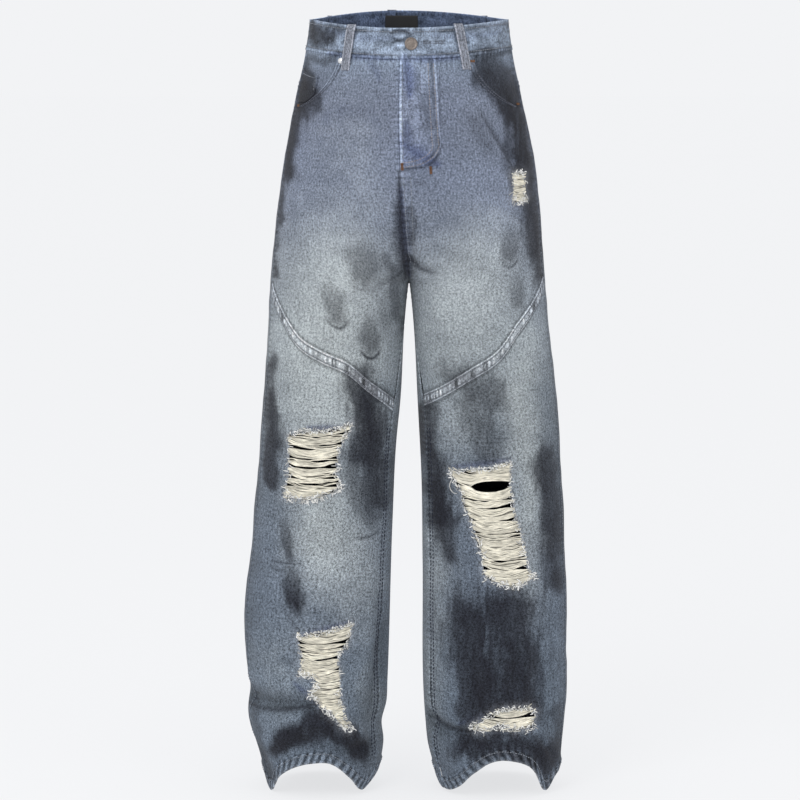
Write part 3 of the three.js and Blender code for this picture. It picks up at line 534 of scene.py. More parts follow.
def prints(table, x, z):
    """How strongly a table of finger-like marks covers each point: ovals, darkest in a crescent
    along the lower edge."""
    cover = np.zeros(x.shape)
    rough = 0.12 * noise(x, z * 0.3, 6, 45) + 0.1 * noise(x, z, 12, 46)
    for cx, cz, wide, tall, lean, strength, rim in table:
        across, up = (x - cx - lean * (z - cz)) / wide, (z - cz) / tall
        smooth = np.hypot(across, up)
        body = strength * (1 - ease((smooth + rough - 0.45) / 0.65)) * np.clip(0.8 - 0.4 * up, 0, 1)
        crescent = rim * hump(smooth, 0.92, 0.075) * ease(-up * 2.2 - 0.7)
        cover = np.maximum(cover, np.maximum(body, crescent))
    return np.clip(cover, 0, 1)


def creases(table, x, z):
    """How strongly a table of creases covers each point."""
    cover = np.zeros(x.shape)
    for *line, wide, strength in table:
        away, along = off_line(line, x, z, 9)
        thin = wide * (0.35 + 0.65 * np.sin(np.pi * np.clip(along, 0.02, 0.98)))
        cover = np.maximum(cover, strength * hump(away, 0, thin))
    return cover


def patches(table, x, z):
    """How strongly a table of pale areas covers each point: soft ellipses."""
    cover = np.zeros(x.shape)
    for cx, cz, wide, tall, strength in table:
        away = ((x - cx) / wide) ** 2 + ((z - cz) / tall) ** 2
        cover = 1 - (1 - cover) * (1 - strength * np.exp(-away * 0.9))
    return cover


def seams(side, v, z):
    """How near each point is to a sewn seam, and where along it: a list of distance and run."""
    round_v = np.where(v < -1, v + 2, v)
    lower = z < CROTCH
    far = 99
    off_thigh = np.abs(z - thigh_seam[side](round_v)) * 0.86
    return [
        (np.where((v > OUTSEAM - 0.02) | (v < -1), off_thigh, far), round_v * SLANT),
        (np.abs(v - OUTSEAM) * ROUND, z),
        (np.where(lower, np.abs(round_v - inseam(z)) * ROUND, far), z + 3),
        (np.where(lower, far, np.abs(np.abs(v) - 1) * 200), z + 5),
        (z - hem_line(side, v) - HEM_HEIGHT, v * ROUND),
        (np.abs(band_bottom(round_v) - z), v * ROUND),
        (np.where(v < OUTSEAM, np.abs(z - yoke_seam(np.maximum(v, -1))), far), v * ROUND),
    ]


def pucker(side, v, z):
    """Small ridges that a seam gathers beside it, 0 to 1, and how near the seam is, 0 to 1."""
    ridge, near = np.zeros(v.shape), np.zeros(v.shape)
    for away, run in seams(side, v, z):
        close = np.exp(-np.abs(away) / 6)
        wave = 0.5 + 0.5 * np.sin(2 * np.pi * run / 8.3 + 2.2 * noise(run, away * 0, 21, 41))
        ridge = np.maximum(ridge, close * wave)
        near = np.maximum(near, close)
    return ridge, near


def facing_front(v, p):
    """How far the cloth at v takes the front's colouring, 1, and not the back's, 0, how near it is
    to the turn between them, and its height there, shifted so that the turn breaks up."""
    y, z = p[..., 1], p[..., 2]
    around = np.where(v < -1, v + 2, v)
    trunk = np.sign(around) * np.sin(np.pi * np.minimum(np.abs(around), 0.5))
    facing = trunk + (np.sin(np.pi * around) - trunk) * ease((CROTCH - z) / 90)
    forward = ease(0.5 + 0.9 * facing + 0.35 * noise(y, z, 34, 58))
    beside = (1 - ease(np.abs(facing) / 0.42)) * (np.abs(v) < 0.5)
    return forward, beside, z + beside * (46 * noise(y, z, 48, 57) + 16 * noise(y, z, 17, 56))


def edge_light(side, v, z):
    """What the sewn edges of the front add to the brightness: a painted highlight down the centre
    front's rim, the pocket mouth's pale rim with painted shade in its sunk stitch lines, and
    painted shadow along the thigh welt."""
    front = (v > 0) | (v < -1)
    run = (1 - v) * ROUND
    light = (side == LEFT) * (v > 0) * (z > -330) * (z < -40) * 0.45 * hump(run, 1.5, 1.2)
    mouth = (v - mouth_v(z, band_bottom(MOUTH_TOP_V))) * ROUND
    sewn = front * (z > MOUTH_BOTTOM) * (mouth > -1) * (z < band_bottom(v) + 0.5)
    sunk = hump(mouth, 9.5, 1.6) + hump(mouth, 3, 1)
    light = light + sewn * (0.8 * hump(mouth, 0.8, 1.2) - 0.4 * sunk)
    off_seam = np.abs(z - thigh_seam[side](np.clip(v, 0, 1))) * 0.8
    return light - front * (v > OUTSEAM) * 0.5 * hump(off_seam, 8, 1.6)


def tint(side, v, p, shade=1.0):
    """The colour of the cloth at points p with place v, and how strongly its grain shows: the
    unworn colour, then what is rubbed, mottled and blue, then painted shade and highlight at the
    seams, towards the leg's sides and on the folds, and last the soot smudges with painted shadow
    and crease shade among them."""
    x, y, z = p[..., 0], p[..., 1], p[..., 2]
    front = (v > 0) | (v < -1)
    forward, beside, z_side = facing_front(v, p)
    wx, wz = x + 9 * noise(x, z, 40, 51), z + 12 * noise(x, z, 46, 52)
    fade = forward * patches(FRONT_FADES, wx, wz) + (1 - forward) * patches(BACK_FADES, wx, wz)
    patchy = 0.10 * noise(x, z, 55, 53) + 0.07 * noise(x * 1.5, z, 14, 54) + 0.05 * noise(x, z * 2.2, 30, 55)
    fade = np.clip(fade + 0.5 * patchy * (fade > 0.1), 0, 1)
    indigo = forward * creases(FRONT_INDIGO, x, z)
    ridge, near = pucker(side, v, z)
    # Painted shade towards the leg's sides and in the fold troughs, and painted highlight on the fold crests.
    side_shade = 1 - 0.4 * ease(1 - np.abs(v - 0.04) / 0.16)
    bend = np.clip(fold_height(v, p) / 6, -1, 1)
    fold_shade = 1 + np.where(front & (bend < 0), 0.36, 0.22) * bend
    colour = np.stack([level(z) for level in BY_HEIGHT], -1)
    colour = colour + (PALE - colour) * fade[..., None]
    colour = colour * (1 + patchy)[..., None]
    colour = colour + (INDIGO - colour) * (0.75 * indigo)[..., None]
    # Painted shade beside the seams and painted highlight on their pucker ridges, with the side and fold shade.
    light = (1 - 0.22 * near + 0.8 * ridge) * side_shade * fold_shade
    colour = colour * (light * np.clip(1 + edge_light(side, v, z), 0.2, 2.4))[..., None]
    # The soot smudges, with painted shadow among them at the crotch and under the hem's arched fold.
    soot_and_shade = forward * strokes(FRONT_SMUDGES_AND_SHADOWS, x, z_side) + (1 - forward) * strokes(BACK_SMUDGES, x, z_side)
    soot_and_shade = soot_and_shade * (1 - 0.75 * beside * ease(0.55 + 1.1 * noise(y, z, 52, 59) + 0.5 * noise(y, z, 19, 50)))
    soot_and_shade = np.clip(soot_and_shade * (1 - 0.35 * ridge), 0, 1)
    # Painted shade in the creases, and the printed finger marks, laid over the smudges.
    marks = np.maximum(creases(FRONT_CREASE_SHADE, x, z), prints(FRONT_PRINTS, x, z))
    soot_and_shade = 1 - (1 - soot_and_shade) * (1 - marks * forward * front)
    colour = (colour + (SOOT_AND_SHADE - colour) * soot_and_shade[..., None]) * shade
    grain = np.clip(1.2 + 0.2 * ease((-420 - z) / 250) - 0.3 * fade, 0.3, 1.5)
    return np.concatenate([np.clip(colour, 0.004, 0.9), grain[..., None]], -1)


# ---- Meshes --------------------------------------------------------------------------------

materials = {}


def make(name, points, faces, slots, nodes=(), colour=None, uv=None, thick=None):
    """An object from points in mm and arrays of faces, with its colour and UV per point. The
    slots are the materials of its face, its inner face and its cut edge."""
    mesh = bpy.data.meshes.new("worn_" + name)
    mesh.vertices.add(len(points))
    mesh.vertices.foreach_set("co", (np.asarray(points) * MM).astype(np.float32).ravel())
    faces = [np.asarray(f) for f in faces if len(f)]
    loops = np.concatenate([f.ravel() for f in faces])
    sizes = np.concatenate([np.full(len(f), f.shape[1]) for f in faces])
    mesh.loops.add(len(loops))
    mesh.loops.foreach_set("vertex_index", loops.astype(np.int32))
    mesh.polygons.add(len(sizes))
    mesh.polygons.foreach_set("loop_start", np.concatenate([[0], np.cumsum(sizes)[:-1]]).astype(np.int32))
    mesh.polygons.foreach_set("loop_total", sizes.astype(np.int32))
    mesh.polygons.foreach_set("use_smooth", np.ones(len(sizes), bool))
    mesh.update(calc_edges=True)
    if uv is not None:
        layer = mesh.uv_layers.new(name="cloth")
        layer.data.foreach_set("uv", np.asarray(uv)[loops].astype(np.float32).ravel())
    if colour is not None:
        layer = mesh.attributes.new("tint", "FLOAT_COLOR", "POINT")
        layer.data.foreach_set("color", np.asarray(colour).astype(np.float32).ravel())
    for s in slots:
        mesh.materials.append(materials[s])
    obj = bpy.data.objects.new("worn_" + name, mesh)
    bpy.context.scene.collection.objects.link(obj)
    if thick:
        shell = obj.modifiers.new("thickness", "SOLIDIFY")
        shell.thickness, shell.offset = thick * MM, -1
        last = len(slots) - 1
        shell.material_offset, shell.material_offset_rim = min(1, last), min(2, last)
    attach(obj, "root")
    if nodes:
        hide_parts(*nodes)
    return obj


def quads(rows, columns, ring=False):
    """The faces of a grid of rows x columns points, as corner numbers."""
    r, c = np.meshgrid(np.arange(rows - 1), np.arange(columns if ring else columns - 1), indexing="ij")
    right = (c + 1) % columns
    a, b, d, e = r * columns + c, r * columns + right, (r + 1) * columns + right, (r + 1) * columns + c
    return np.stack([a, b, d, e], -1).reshape(-1, 4)


def face_out(points, faces, out):
    """The faces, turned where needed so that their normals lie along out, given per point."""
    a, b, d = (points[faces[:, i]] for i in (0, 1, 3))
    facing = (np.cross(b - a, d - a) * out[faces[:, 0]]).sum(-1)
    return faces if np.median(facing) > 0 else faces[:, ::-1]


def lengths(side, v, z):
    """UV in metres: the run round the leg, and the height."""
    v, z = np.broadcast_arrays(v, z)
    return np.stack([side * v * UV_ROUND * MM, z * MM], -1).reshape(-1, 2)


def cut_rip(outline, points, faces, colour):
    """The faces left round a rip: points within reach of its edge move on to it along the slope
    of their depth, the cloth pales towards it, and the faces inside it go."""
    reach, step = 1.4, 0.2
    depth = np.where(points[:, 1] < 0, depth_inside(outline, points[:, 0], points[:, 2]), -99)
    close = np.abs(depth) < reach
    gx = depth_inside(outline, points[close, 0] + step, points[close, 2]) - depth[close]
    gz = depth_inside(outline, points[close, 0], points[close, 2] + step) - depth[close]
    steep = np.hypot(gx, gz) + 1e-6
    move = np.clip(depth[close] / (steep / step), -1.6, 1.6) / steep
    points[close, 0] -= gx * move
    points[close, 2] -= gz * move
    fringe = np.exp(np.minimum(depth, 0) / 3.2) * (depth > -14)
    colour[:, :3] += (FRINGE_PALE - colour[:, :3]) * (0.75 * fringe)[:, None]
    corners = points[faces].mean(1)
    inside = depth_inside(outline, corners[:, 0], corners[:, 2]) > 0
    return faces[~(inside & (corners[:, 1] < 0))]


def panel(name, side, v, z, out=0.0, thick=CLOTH, crimp=0.55, seam=0.0, shade=1.0,
          paint=None, part=None):
    """A piece of cloth over a grid of v and z, puckered at its seams by crimp. Its colour is
    mixed with the seams' pale one by seam and multiplied by shade and paint. A front panel gives
    its part, upper or lower, and has that part's rips cut out of it."""
    ridge, near = pucker(side, v, z) if crimp else (0.0, 0.0)
    p = cloth(side, v, z, out + crimp * (ridge - 0.4 * near))
    colour = tint(side, v, p, shade)
    if seam:
        colour[..., :3] = colour[..., :3] * (1 - seam) + seam * SEAM_PALE
    if paint is not None:
        colour[..., :3] = np.clip(colour[..., :3] * paint[..., None], 0, 0.9)
    points, colour = p.reshape(-1, 3), colour.reshape(-1, 4)
    faces = face_out(points, quads(*v.shape), outward(side, v, z).reshape(-1, 3))
    cuts = [rip for rip in RIPS if (RIPS[rip]["side"], RIPS[rip]["panel"]) == (side, part)]
    for rip in cuts:
        faces = cut_rip(RIPS[rip]["outline"], points, faces, colour)
    obj = make(name, points, [faces], DENIM, [name], colour, lengths(side, v, z), thick)


# ---- Threads and stitches ------------------------------------------------------------------

def tubes(paths, radius, sides):
    """Closed tubes along many paths of equally many points: rings square to each path, joined,
    with a cap at both ends. Returns the points, the faces of the walls and the caps."""
    many, n, _ = paths.shape
    along = np.gradient(paths, axis=1)
    along /= np.linalg.norm(along, axis=-1, keepdims=True) + 1e-9
    up = np.where(np.abs(along[..., 2:]) < 0.8, np.array([0, 0, 1.0]), np.array([0, 1.0, 0]))
    a = np.cross(along, up)
    a /= np.linalg.norm(a, axis=-1, keepdims=True) + 1e-9
    b = np.cross(a, along)
    turn = np.arange(sides) * 2 * np.pi / sides
    radius = np.broadcast_to(radius, (many, n))[..., None, None]
    spokes = np.cos(turn)[:, None] * a[:, :, None] + np.sin(turn)[:, None] * b[:, :, None]
    rings = paths[:, :, None] + radius * spokes
    faces = quads(n, sides, True)[:, ::-1]
    caps = np.array([np.arange(sides), np.arange(n * sides - 1, (n - 1) * sides - 1, -1)])
    offset = np.arange(many)[:, None, None] * n * sides
    return rings.reshape(-1, 3), (faces + offset).reshape(-1, 4), (caps + offset).reshape(-1, sides)


def front_spot(side, x, z, out):
    """The point of the front of one side at x and z, moved out of its face."""
    return cloth(side, v_at(side, x, z), z, out)


def rip_threads(rip, rng, apart, deep):
    """The weft threads left across a rip, some way apart and deep below the cloth: each is a
    level line that sags as a parabola, sways with the rest of its bundle, and is pushed up or
    down by a lens shape round each gap."""
    outline, side = rip["outline"], rip["side"]
    xs, zs = np.array(outline, float).T
    wide = np.linspace(xs.min() - 3, xs.max() + 3, 220)
    paths = []
    steps = 19
    u = np.linspace(0, 1, steps)
    bundle, swing, slope = 0, 1.0, 0.0
    for height in np.arange(zs.min() + 0.5, zs.max(), apart):
        inside = wide[depth_inside(outline, wide, np.full(wide.shape, height), 0.6) > 0]
        if len(inside) < 4:
            continue
        if rng.random() < 0.45:
            bundle += 1
            swing, slope = rng.uniform(0.5, 1.2), rng.normal(0, 0.011)
        start, end = inside[0] - 1.8, inside[-1] + 1.8
        x = start + (end - start) * u
        length = end - start
        room = ease((height - zs.min()) / 16)
        sag = (0.085 + 0.03 * swing + 0.04 * rng.random()) * length * room
        z = height + rng.normal(0, 0.3) + slope * (x - start)
        z = z + sag * (0.5 - 4 * u * (1 - u) * (1.2 - 0.6 * u))
        sway = noise(x, np.full(steps, bundle * 37.0), 15, 60) * (0.25 + 0.75 * np.sin(np.pi * u))
        z = z + room * swing * sway
        z = z + 0.9 * noise(x, np.full(steps, height * 3.1), 8, 61)
        stray = rng.random() < 0.25
        z = z + stray * rng.normal(0, 0.07) * (x - (start + end) / 2)
        for gx, gz, half, tall in rip["gaps"]:
            lens = tall * np.clip(1 - ((x - gx) / half) ** 2, 0, 1) ** 0.7
            above = 1 if np.interp(gx, x, z) > gz else -1
            clear = above * (z - gz)
            clear = clear + lens * np.exp(-np.maximum(clear, 0) / (tall * 1.8 + 2))
            z = gz + above * np.maximum(clear, lens * rng.uniform(0.85, 1.1))
        out = -0.9 + 0.7 * rng.random() - 0.9 * np.sin(np.pi * u) + 0.7 * stray - deep
        out = out + 0.6 * noise(x, np.full(steps, height * 5), 9, 71)
        paths.append(front_spot(side, x, z, out))
    return np.array(paths)


def curls(rip, rng):
    """Short torn yarns round a rip's edge: each leaves the edge and curls over like a hook, its
    heading turning evenly along it."""
    outline, count = np.array(rip["outline"], float), rip["curls"]
    after = np.roll(outline, -1, 0)
    size = np.linalg.norm(after - outline, axis=1)
    level = size * (0.14 + np.abs(after[:, 0] - outline[:, 0]) / size)
    pick = rng.choice(len(outline), count, p=level / level.sum())
    share = rng.random(count)
    foot = outline[pick] + (after[pick] - outline[pick]) * share[:, None]
    turn = np.sign((outline[:, 0] * after[:, 1] - after[:, 0] * outline[:, 1]).sum())
    edge = (after[pick] - outline[pick]) / size[pick][:, None]
    inward = turn * np.stack([-edge[:, 1], edge[:, 0]], 1)
    low = foot[:, 1] < outline[:, 1].mean()
    reach = rng.uniform(2.5, 6.5, count) * np.where(low, 1.45, 1.0)
    away = np.where(rng.random(count) < 0.45, -1, 1)
    bend = rng.uniform(-3.2, 3.2, count)
    u = np.linspace(0, 1, 7)
    heading = np.arctan2(inward[:, 1] * away, inward[:, 0] * away) + rng.normal(0, 0.5, count)
    angle = heading[:, None] + bend[:, None] * u
    x = foot[:, :1] + reach[:, None] * np.cumsum(np.cos(angle), 1) / 7
    z = foot[:, 1:] + reach[:, None] * np.cumsum(np.sin(angle), 1) / 7
    out = 0.25 + rng.uniform(0.2, 1.6, count)[:, None] * np.sin(np.pi * u * 0.8)
    return front_spot(rip["side"], x, z, out)


def yarn_colour(points_each, shades, tone):
    """One tint per yarn, repeated over its points."""
    colour = np.concatenate([np.array(tone) * shades[:, None], np.full((len(shades), 1), 0.5)], 1)
    return np.repeat(np.clip(colour, 0, 0.95), points_each, 0)


CREAM, TORN = (0.92, 0.88, 0.76), (0.86, 0.86, 0.84)
UPPER_SHARE = 0.655     # the part of a rip's threads that lies in the upper of its two layers
HOOK = np.array([(60, -632), (57.5, -637), (56.5, -642), (58, -647), (61, -650.5), (64.5, -652), (67, -651)])


def threads(name):
    """All the yarn of one rip: two layers of weft threads, the lower one wider apart and in
    shade, the curled ends round the edge and, at the left knee, one loose hook."""
    rip = RIPS[name]
    rng = np.random.default_rng(sum(map(ord, name)))
    weft = np.concatenate([rip_threads(rip, rng, 0.8, 0.0), rip_threads(rip, rng, 1.5, 1.6)])
    under = np.arange(len(weft)) >= len(weft) * UPPER_SHARE
    loops = curls(rip, rng)
    if name == "left_knee":
        loops = np.concatenate([loops, front_spot(LEFT, HOOK[None, :, 0], HOOK[None, :, 1], 1.0)])
    weft_sides, loop_sides = 4, 3
    points, faces, caps = tubes(weft, 0.52 + 0.2 * rng.random((len(weft), 1)), weft_sides)
    # The lower layer's yarn is painted at half brightness, as shade.
    shades = rng.uniform(0.78, 1.06, len(weft)) * np.where(under, 0.5, 1)
    colour = yarn_colour(weft.shape[1] * weft_sides, shades, CREAM)
    x, z = points[:, 0], points[:, 2]
    colour[:, :3] *= (0.86 + 0.26 * noise(x, z * 3, 4, 62) + 0.14 * noise(x, z * 2, 11, 63))[:, None]
    thin = np.array([1, 1, 1, 0.95, 0.9, 0.8, 0.5])
    more, more_faces, more_caps = tubes(loops, 0.72 * thin, loop_sides)
    blue = rng.random(len(loops)) < 0.3
    shades = rng.uniform(0.8, 1.15, len(loops)) * np.where(blue, 0.55, 1)
    colour = np.concatenate([colour, yarn_colour(loops.shape[1] * loop_sides, shades, TORN)])
    groups = [faces, caps, more_faces + len(points), more_caps + len(points)]
    return make(f"threads_{name}", np.concatenate([points, more]), groups, ["yarn"],
                [f"rip_threads_{name}"], colour)


def stitches(rows, pitch, length, radius):
    """Paths for stitches along rows of surface points and their normals: even steps along each
    row, each stitch four points long with its ends pulled into the cloth."""
    made = []
    rise = np.array([-0.35, 0.22, 0.22, -0.35]) * radius / 0.5
    for points, normals in rows:
        run = np.concatenate([[0], np.cumsum(np.linalg.norm(np.diff(points, axis=0), axis=1))])
        at = np.arange(pitch, run[-1] - pitch * 0.4, pitch)
        ends = at[:, None] + np.array([-0.5, -0.25, 0.25, 0.5]) * length
        spots = np.stack([np.interp(ends, run, points[:, k]) for k in range(3)], -1)
        lift = np.stack([np.interp(ends, run, normals[:, k]) for k in range(3)], -1)
        made.append(spots + lift * rise[:, None])
    return np.concatenate(made)


def row_on(side, v, z, out):
    """Points and normals of a line on the puckered cloth, moved out of its face."""
    v, z = np.broadcast_arrays(np.asarray(v, float), np.asarray(z, float))
    ridge, near = pucker(side, v, z)
    return cloth(side, v, z, out + 0.55 * (ridge - 0.4 * near)), outward(side, v, z)


def sew(name, rows, tone, pitch=3.9, length=3.0, radius=0.5):
    """A joined mesh of all the stitches in some rows."""
    paths = stitches(rows, pitch, length, radius)
    sides = 4
    points, faces, caps = tubes(paths, radius * np.array([0.5, 1, 1, 0.5]), sides)
    rng = np.random.default_rng(len(paths))
    colour = yarn_colour(paths.shape[1] * sides, rng.uniform(0.6, 1.15, len(paths)), tone)
    return make(name, points, [faces, caps], ["yarn"], (), colour)


# ---- Materials -----------------------------------------------------------------------------

def group_of(name, inputs, outputs):
    """An empty node group with the given sockets, and its two end nodes."""
    tree = bpy.data.node_groups.new(name, "ShaderNodeTree")
    for label, kind in inputs:
        tree.interface.new_socket(label, in_out="INPUT", socket_type=kind)
    for label, kind in outputs:
        tree.interface.new_socket(label, in_out="OUTPUT", socket_type=kind)
    return tree, tree.nodes.new("NodeGroupInput"), tree.nodes.new("NodeGroupOutput")


def node(tree, kind, inputs=(), **settings):
    """A node with its settings and inputs: an input is a value or another node's output."""
    made = tree.nodes.new(kind)
    for key, value in settings.items():
        setattr(made, key, value)
    for key, value in dict(inputs).items():
        if isinstance(value, bpy.types.NodeSocket):
            tree.links.new(value, made.inputs[key])
        else:
            made.inputs[key].default_value = value
    return made


def maths(tree, operation, a, b=0.0, c=0.0):
    """The output of a Math node."""
    return node(tree, "ShaderNodeMath", {0: a, 1: b, 2: c}, operation=operation).outputs[0]


RIB = 0.00105           # from one twill rib to the next, in metres


def denim_group():
    """Denim's grain: slubby mottling longer up the cloth than across it, a finer salt and pepper,
    and twill ribs about 1 mm apart that climb to the right."""
    colour, number, vector = "NodeSocketColor", "NodeSocketFloat", "NodeSocketVector"
    tree, given, made = group_of("denim", [("Tint", colour), ("Grain", number), ("UV", vector)],
                                 [("Color", colour), ("Height", number), ("Roughness", number)])
    uv = given.outputs["UV"]

    def mottle(tall, scale, **more):
        """A noise of some scale, its height on the cloth divided by tall."""
        spot = uv
        if tall != 1:
            stretch = node(tree, "ShaderNodeVectorMath", {0: uv, 1: (1, tall, 1)}, operation="MULTIPLY")
            spot = stretch.outputs[0]
        return node(tree, "ShaderNodeTexNoise", {"Vector": spot, "Scale": scale, **more},
                    noise_dimensions="2D").outputs[0]

    coarse = mottle(0.8, 400, Detail=2, Roughness=0.6)
    fine = mottle(1, 1100, Detail=1)
    slub = mottle(0.2, 420, Detail=1)
    parts = node(tree, "ShaderNodeSeparateXYZ", {0: uv})
    slope = maths(tree, "MULTIPLY_ADD", parts.outputs[1], -0.55, parts.outputs[0])
    twill = maths(tree, "SINE", maths(tree, "MULTIPLY", slope, 2 * np.pi / RIB))
    speckle = maths(tree, "MULTIPLY", maths(tree, "SUBTRACT", coarse, 0.5), 1.9)
    speckle = maths(tree, "MULTIPLY_ADD", maths(tree, "SUBTRACT", fine, 0.5), 2.3, speckle)
    speckle = maths(tree, "MULTIPLY_ADD", maths(tree, "SUBTRACT", slub, 0.5), 0.6, speckle)
    speckle = maths(tree, "MULTIPLY_ADD", twill, 0.1, speckle)
    gain = maths(tree, "MULTIPLY_ADD", maths(tree, "MULTIPLY", speckle, given.outputs["Grain"]), 0.85, 1.0)
    gain = maths(tree, "MAXIMUM", gain, 0.12)
    scaled = node(tree, "ShaderNodeVectorMath", {0: given.outputs["Tint"], 3: gain}, operation="SCALE")
    height = maths(tree, "MULTIPLY_ADD", twill, 0.35, maths(tree, "MULTIPLY", speckle, 0.5))
    rough = maths(tree, "MULTIPLY_ADD", coarse, -0.1, 0.95)
    for label, value in (("Color", scaled.outputs[0]), ("Height", height), ("Roughness", rough)):
        tree.links.new(value, made.inputs[label])
    return tree


def material(name):
    """A new material, its tree and its Principled shader."""
    made = bpy.data.materials.new(name)
    made.use_nodes = True
    return made, made.node_tree, made.node_tree.nodes["Principled BSDF"]


def denim_material(name, gain, group):
    """The cloth's colour from its tint, painted light and shade included, dimmed by gain, with the denim
    group's grain, bump and roughness.
    """
    made, tree, shader = material(name)
    shade = node(tree, "ShaderNodeAttribute", attribute_name="tint")
    uv = node(tree, "ShaderNodeUVMap", uv_map="cloth")
    dimmed = node(tree, "ShaderNodeVectorMath", {0: shade.outputs["Color"], 1: gain}, operation="MULTIPLY")
    weave = node(tree, "ShaderNodeGroup", node_tree=group)
    tree.links.new(dimmed.outputs[0], weave.inputs["Tint"])
    tree.links.new(shade.outputs["Alpha"], weave.inputs["Grain"])
    tree.links.new(uv.outputs[0], weave.inputs["UV"])
    bump = node(tree, "ShaderNodeBump", {"Strength": 0.45, "Distance": 0.0006,
                                         "Height": weave.outputs["Height"]})
    tree.links.new(weave.outputs["Color"], shader.inputs["Base Color"])
    tree.links.new(weave.outputs["Roughness"], shader.inputs["Roughness"])
    tree.links.new(bump.outputs[0], shader.inputs["Normal"])
    shader.inputs["Specular IOR Level"].default_value = 0.15
    shader.inputs["Sheen Weight"].default_value = 0.08
    shader.inputs["Sheen Roughness"].default_value = 0.5
    return made


def grained(made, tree, shader, colour, scale, detail, grain, strength, depth):
    """Gives a material a colour and a bump that vary with a noise in the object's coordinates."""
    spot = node(tree, "ShaderNodeTexCoord").outputs["Object"]
    mottle = node(tree, "ShaderNodeTexNoise", {"Vector": spot, "Scale": scale, "Detail": detail}).outputs[0]
    gain = maths(tree, "MULTIPLY_ADD", maths(tree, "SUBTRACT", mottle, 0.5), grain, 1.0)
    scaled = node(tree, "ShaderNodeVectorMath", {0: colour, 3: gain}, operation="SCALE").outputs[0]
    bump = node(tree, "ShaderNodeBump", {"Strength": strength, "Distance": depth, "Height": mottle})
    tree.links.new(scaled, shader.inputs["Base Color"])
    tree.links.new(bump.outputs[0], shader.inputs["Normal"])
    return made


def plain_material(name, colour, roughness, metallic, grain, scale):
    """A single colour with a little mottling."""
    made, tree, shader = material(name)
    shader.inputs["Roughness"].default_value = roughness
    shader.inputs["Metallic"].default_value = metallic
    return grained(made, tree, shader, colour, scale, 3, grain, 0.4, 0.0002)


def yarn_material():
    """The yarn's colour from its tint, the painted shade of some yarn included, fuzzy and matt."""
    made, tree, shader = material("yarn")
    shader.inputs["Roughness"].default_value = 0.95
    shader.inputs["Specular IOR Level"].default_value = 0.1
    shade = node(tree, "ShaderNodeAttribute", attribute_name="tint").outputs["Color"]
    return grained(made, tree, shader, shade, 1500, 2, 0.5, 0.5, 0.0003)


weave_group = denim_group()
materials["denim"] = denim_material("denim", (0.72, 0.72, 0.735), weave_group)
# The inner face is near black, as painted shade for the dark inside of the legs.
materials["inside"] = denim_material("denim_inside_painted_shade", (0.07, 0.07, 0.085), weave_group)
# The band's inner face is a darker copy of the denim: painted shade.
materials["band_inside_in_shade"] = denim_material("band_inside_in_shade", (0.3, 0.33, 0.42), weave_group)
materials["raw_edge"] = denim_material("raw_edge", (0.95, 0.95, 0.97), weave_group)
materials["yarn"] = yarn_material()
materials["label"] = plain_material("label", (0.012, 0.012, 0.014), 0.8, 0.0, grain=0.6, scale=900)
materials["copper"] = plain_material("aged_copper", (0.2, 0.172, 0.155), 0.5, 0.85, grain=1.3, scale=500)
materials["steel"] = plain_material("rivet_steel", (0.75, 0.76, 0.78), 0.3, 1.0, grain=0.5, scale=500)
DENIM = ["denim", "inside", "raw_edge"]
BAND = ["denim", "band_inside_in_shade", "raw_edge"]

# ---- Front ---------------------------------------------------------------------------------

def front_upper(side):
    """From the pocket mouth and the waistband down to the thigh seam: rows down the curve of the
    mouth, then level rows that lean over into the slope of the seam."""
    p = np.linspace(0, 1, 86)[None]
    turn = np.pi / 2 * np.linspace(0, 1, 34)[:-1, None]
    mouth_z = MOUTH_TOP - (MOUTH_TOP - MOUTH_BOTTOM) * np.sin(turn)
    first = mouth_v(mouth_z) + EDGE
    v_top = first + (1 - first) * p
    z_top = mouth_z + (band_bottom(v_top) - SEAM_GAP - MOUTH_TOP) * (1 - np.sin(turn))
    end = thigh_seam[side](1.0) + SEAM_GAP
    heights = np.concatenate([np.linspace(MOUTH_BOTTOM, -330, 82), np.linspace(-332, -366, 26)[:-1],
                              np.linspace(-366, end, 76)])[:, None]
    last = np.where(heights > CROTCH, 1, inseam(heights) - EDGE)
    v_low = OUTSEAM + EDGE + (last - OUTSEAM - EDGE) * p
    share = (heights - MOUTH_BOTTOM) / (end - MOUTH_BOTTOM)
    z_low = MOUTH_BOTTOM + (thigh_seam[side](v_low) + SEAM_GAP - MOUTH_BOTTOM) * share
    panel(f"front_upper_{SIDES[side]}", side, np.concatenate([v_top, v_low]), np.concatenate([z_top, z_low]),
          part="upper")


def front_lower(side):
    """From the thigh seam down to the hem, between the outseam and the inseam."""
    p, q = grid(90, 240)
    at_seam = thigh_seam[side](1.0)
    last = inseam(at_seam + (hem_line(side, INSEAM) + HEM_HEIGHT - at_seam) * q) - EDGE
    v = OUTSEAM + EDGE + (last - OUTSEAM - EDGE) * p
    top = thigh_seam[side](v) - SEAM_GAP / 2
    z = top + (hem_line(side, v) + HEM_HEIGHT - top) * q
    panel(f"front_lower_{SIDES[side]}", side, v, z, part="lower")


